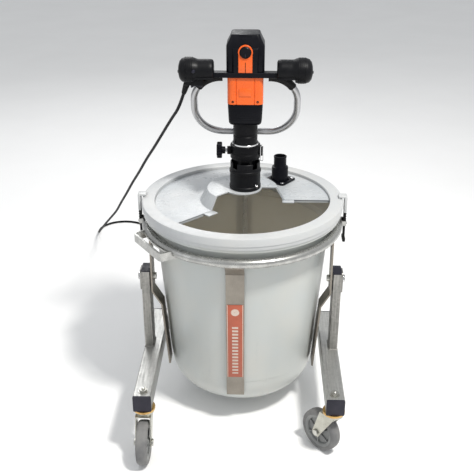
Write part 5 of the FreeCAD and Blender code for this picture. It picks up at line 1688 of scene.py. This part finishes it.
@dataclass
class Controls:
    """Grips, handle loop, star knob, speed dial, trigger and lock button."""

    grip: tuple[tuple[float, float], ...] = (
        (0.0, 0.0843), (0.0225, 0.0843), (0.0268, 0.0862), (0.0286, 0.0905), (0.0290, 0.0980),
        (0.0288, 0.1220),
        (0.0292, 0.1285), (0.0318, 0.1345), (0.0338, 0.1420), (0.0342, 0.1500), (0.0334, 0.1600),
        (0.0305, 0.1690),
        (0.0235, 0.1750), (0.0130, 0.1780), (0.0, 0.1783))
    lobes: int = 5
    flat: float = -0.0195

    def grips(self) -> None:
        """Turn the two grips and give them their flanges and trigger cheeks."""
        x = middle("motor_case").x
        for side, tag in ((1, "right"), (-1, "left")):
            low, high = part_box(tag + "_grip")
            y = (low.y + high.y) / 2
            z = (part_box("right_grip")[0].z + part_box("right_grip")[1].z) / 2
            body = Bench.turned(tag + "_grip_form", self.grip, (0, 0, 0), Axis.X, 56, 50.0)
            under = Bench.block("under", (0.0800, -0.05, -0.06), (0.1330, 0.05, self.flat))
            Bench.carve(body, under, keep_shading=50.0)
            pieces = [body, Bench.block("grip_flange", (0.0843, -0.0270, self.flat - 0.0005),
                                        (0.1500, 0.0270, self.flat + 0.0050),
                                        0.0, 0.0016)]
            for index in range(5):
                pieces.append(Bench.turned("grip_ring", [
                    (0.0330, 0.0), (0.0345, 0.0005), (0.0345, 0.0019), (0.0330, 0.0024), (0.0330, 0.0)],
                    (0.1400 + 0.0044 * index, 0, 0), Axis.X, 48))
            pieces.append(Bench.turned("end_pin",
                                       [(0, 0.1770), (0.0042, 0.1770), (0.0042, 0.1800), (0.0025, 0.1808),
                                                   (0, 0.1808)], (0, 0, -0.004), Axis.X, 24))
            if side < 0:
                for across in (-0.0118, 0.0078):
                    pieces.append(Bench.block("trigger_cheek", (0.1120, across, -0.0400),
                                              (0.1570, across + 0.0040, -0.0180),
                                              0.0, 0.0016))
                pieces.append(Bench.block("trigger_bridge", (0.1545, -0.0110, -0.0390),
                                          (0.1600, 0.0110, -0.0200),
                                          0.0, 0.0016))
            form = Bench.join(tag + "_grip_form", pieces)
            move = Matrix.Translation((x, y, z)) @ (Matrix.Scale(-1, 4,
                                                                 (1, 0, 0)) if side < 0 else Matrix())
            form.data.transform(move)
            if side < 0:
                form.data.flip_normals()
            Bench.dress(form, "soft_grip", "cradle", "black_plastic", tag + "_grip")

    def knob(self) -> None:
        """Model the five-lobed knob and its threaded stud."""
        low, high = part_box("star_knob")
        spot = joint("star_knob_turn")["pos_m"]
        thick = 0.0150
        core = Bench.turned("knob_core", [(0, 0), (0.0160, 0), (0.0180, 0.0015), (0.0180, thick - 0.0020),
                                          (0.0160, thick), (0.0105, thick), (0.0100, thick + 0.009),
                                          (0.0050, thick + 0.009), (0.0, thick + 0.009)], steps=48)
        lobe = Bench.turned("knob_lobe",
                            [(0, 0.0002), (0.0052, 0.0002), (0.0070, 0.0022), (0.0070, thick - 0.0024),
                                          (0.0052, thick - 0.0004), (0, thick - 0.0004)], (0.0170, 0, 0),
                            Axis.Z, 28)
        turned_lobes = [Bench.copy(lobe, "knob_lobe",
                                   Matrix.Rotation(2 * math.pi * index / self.lobes, 4, "Z"))
                        for index in range(1, self.lobes)]
        knob = Bench.join("star_knob_form", [core, lobe] + turned_lobes)
        cap = Bench.turned("knob_cap", [(0, -0.0006), (0.0060, -0.0006), (0.0066, 0.0002),
                                        (0.0066, 0.002), (0, 0.002)],
                           steps=32)
        stud = Bench.turned("stud", [(0, 0.020)] + [
            (0.0050 if index % 2 else 0.0044,
             0.0240 + 0.0006 * index) for index in range(24)] + [(0, 0.0385)], steps=24)
        metal = Bench.join("star_knob_stud", [cap, stud])
        move = placed((low.x, spot[1], spot[2]), 90, "Y")
        for piece in (knob, metal):
            piece.data.transform(move)
        Bench.dress(knob, "black_plastic", "star_knob", "black_plastic", "star_knob")
        Bench.dress(metal, "bright_steel", "star_knob", "zinc_steel", "star_knob")

    def dial(self) -> None:
        """Turn the speed dial with its knurling and pointer."""
        low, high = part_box("speed_dial")
        spot = joint("speed_dial_turn")["pos_m"]
        form = Bench.turned("dial_form", [
            (0, 0), (0.0128, 0), (0.0148, 0.0016), (0.0152, 0.0040), (0.0152, 0.0088), (0, 0.0088)],
            (0, 0, 0), Axis.Z, 72)
        ridge = Bench.block("dial_ridge", (0.0142, -0.0007, 0.0024), (0.0155, 0.0007, 0.0086),
                            edge=0.0003, segments=2)
        ridges = [Bench.copy(ridge, "dial_ridge", Matrix.Rotation(math.radians(15 * index), 4, "Z"))
                  for index in range(1, 24)]
        form = Bench.join("speed_dial_form", [form, ridge] + ridges)
        pointer = Bench.block("dial_pointer", (-0.0008, 0.0040, -0.0002), (0.0008, 0.0122, 0.0006),
                              edge=0.0002,
                              segments=2)
        move = placed((spot[0], low.y, spot[2]), -90, "X")
        for piece in (form, pointer):
            piece.data.transform(move)
        Bench.dress(form, "black_plastic", "speed_dial", "black_plastic", "speed_dial")
        Bench.dress(pointer, "cap_plastic", "speed_dial", "black_plastic", "speed_dial")

    def trigger(self) -> None:
        """Model the trigger with a finger hollow, and the lock button with a domed end."""
        low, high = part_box("trigger")
        form = Bench.block("trigger_form", low, high, 0.0, 0.0)
        hollow = Bench.turned("finger", [(0, -0.02), (0.0170, -0.02), (0.0170, 0.02), (0, 0.02)],
                              ((low.x + high.x) / 2, (low.y + high.y) / 2, low.z - 0.0125), Axis.Y, 48)
        Bench.carve(form, hollow)
        Bench.bevel(form, 0.0014, 3)
        Bench.dress(form, "cap_plastic", "trigger", "black_plastic", "trigger")
        low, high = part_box("lock_button")
        button = Bench.turned("lock_form", [(0, 0), (0.0030, 0.0002), (0.0042, 0.0010), (0.0047, 0.0022),
                                            (0.0047, high.y - low.y), (0, high.y - low.y)],
                              ((low.x + high.x) / 2, low.y, (low.z + high.z) / 2), Axis.Y, 32)
        Bench.dress(button, "cap_plastic", "lock_button", "black_plastic", "lock_button")

    def build(self) -> None:
        """Build the controls and dress the loop."""
        self.grips()
        self.knob()
        self.dial()
        self.trigger()
        Bench.redress("black_plastic", "cross_bar")
        Bench.redress("loop_aluminium", "loop_handle")
        Bench.redress("latch_rubber", "loop_sleeves")


@dataclass
class MixingGear:
    """Paddle, spindle and the works inside the housings."""

    finishes: tuple[tuple[str, tuple[str, ...]], ...] = (
        ("shaft_stainless", ("mixing_paddle", "output_spindle")),
        ("gear_steel", ("idler_gear", "ball_bearings", "motor_armature")),
        ("winding_copper", ("motor_stator",)),
        ("carbon", ("carbon_brushes",)))

    def build(self) -> None:
        """Dress the nodes that keep their own shape."""
        for finish, nodes in self.finishes:
            Bench.redress(finish, *nodes)


# ---- Assembly ----------------------------------------------------------------------------------


def main() -> None:
    """Build the whole station."""
    logging.basicConfig(level=logging.INFO, format="%(name)s: %(message)s")
    for assembly in (Studio(), RollingFrame(), Casters(), Bucket(), Lid(), DustPort(), Cradle(),
                     MixerBody(), Controls(),
                     MixingGear(), PowerCord()):
        LOG.info("building %s", type(assembly).__name__)
        assembly.build()


if __name__ == "__main__":
    main()
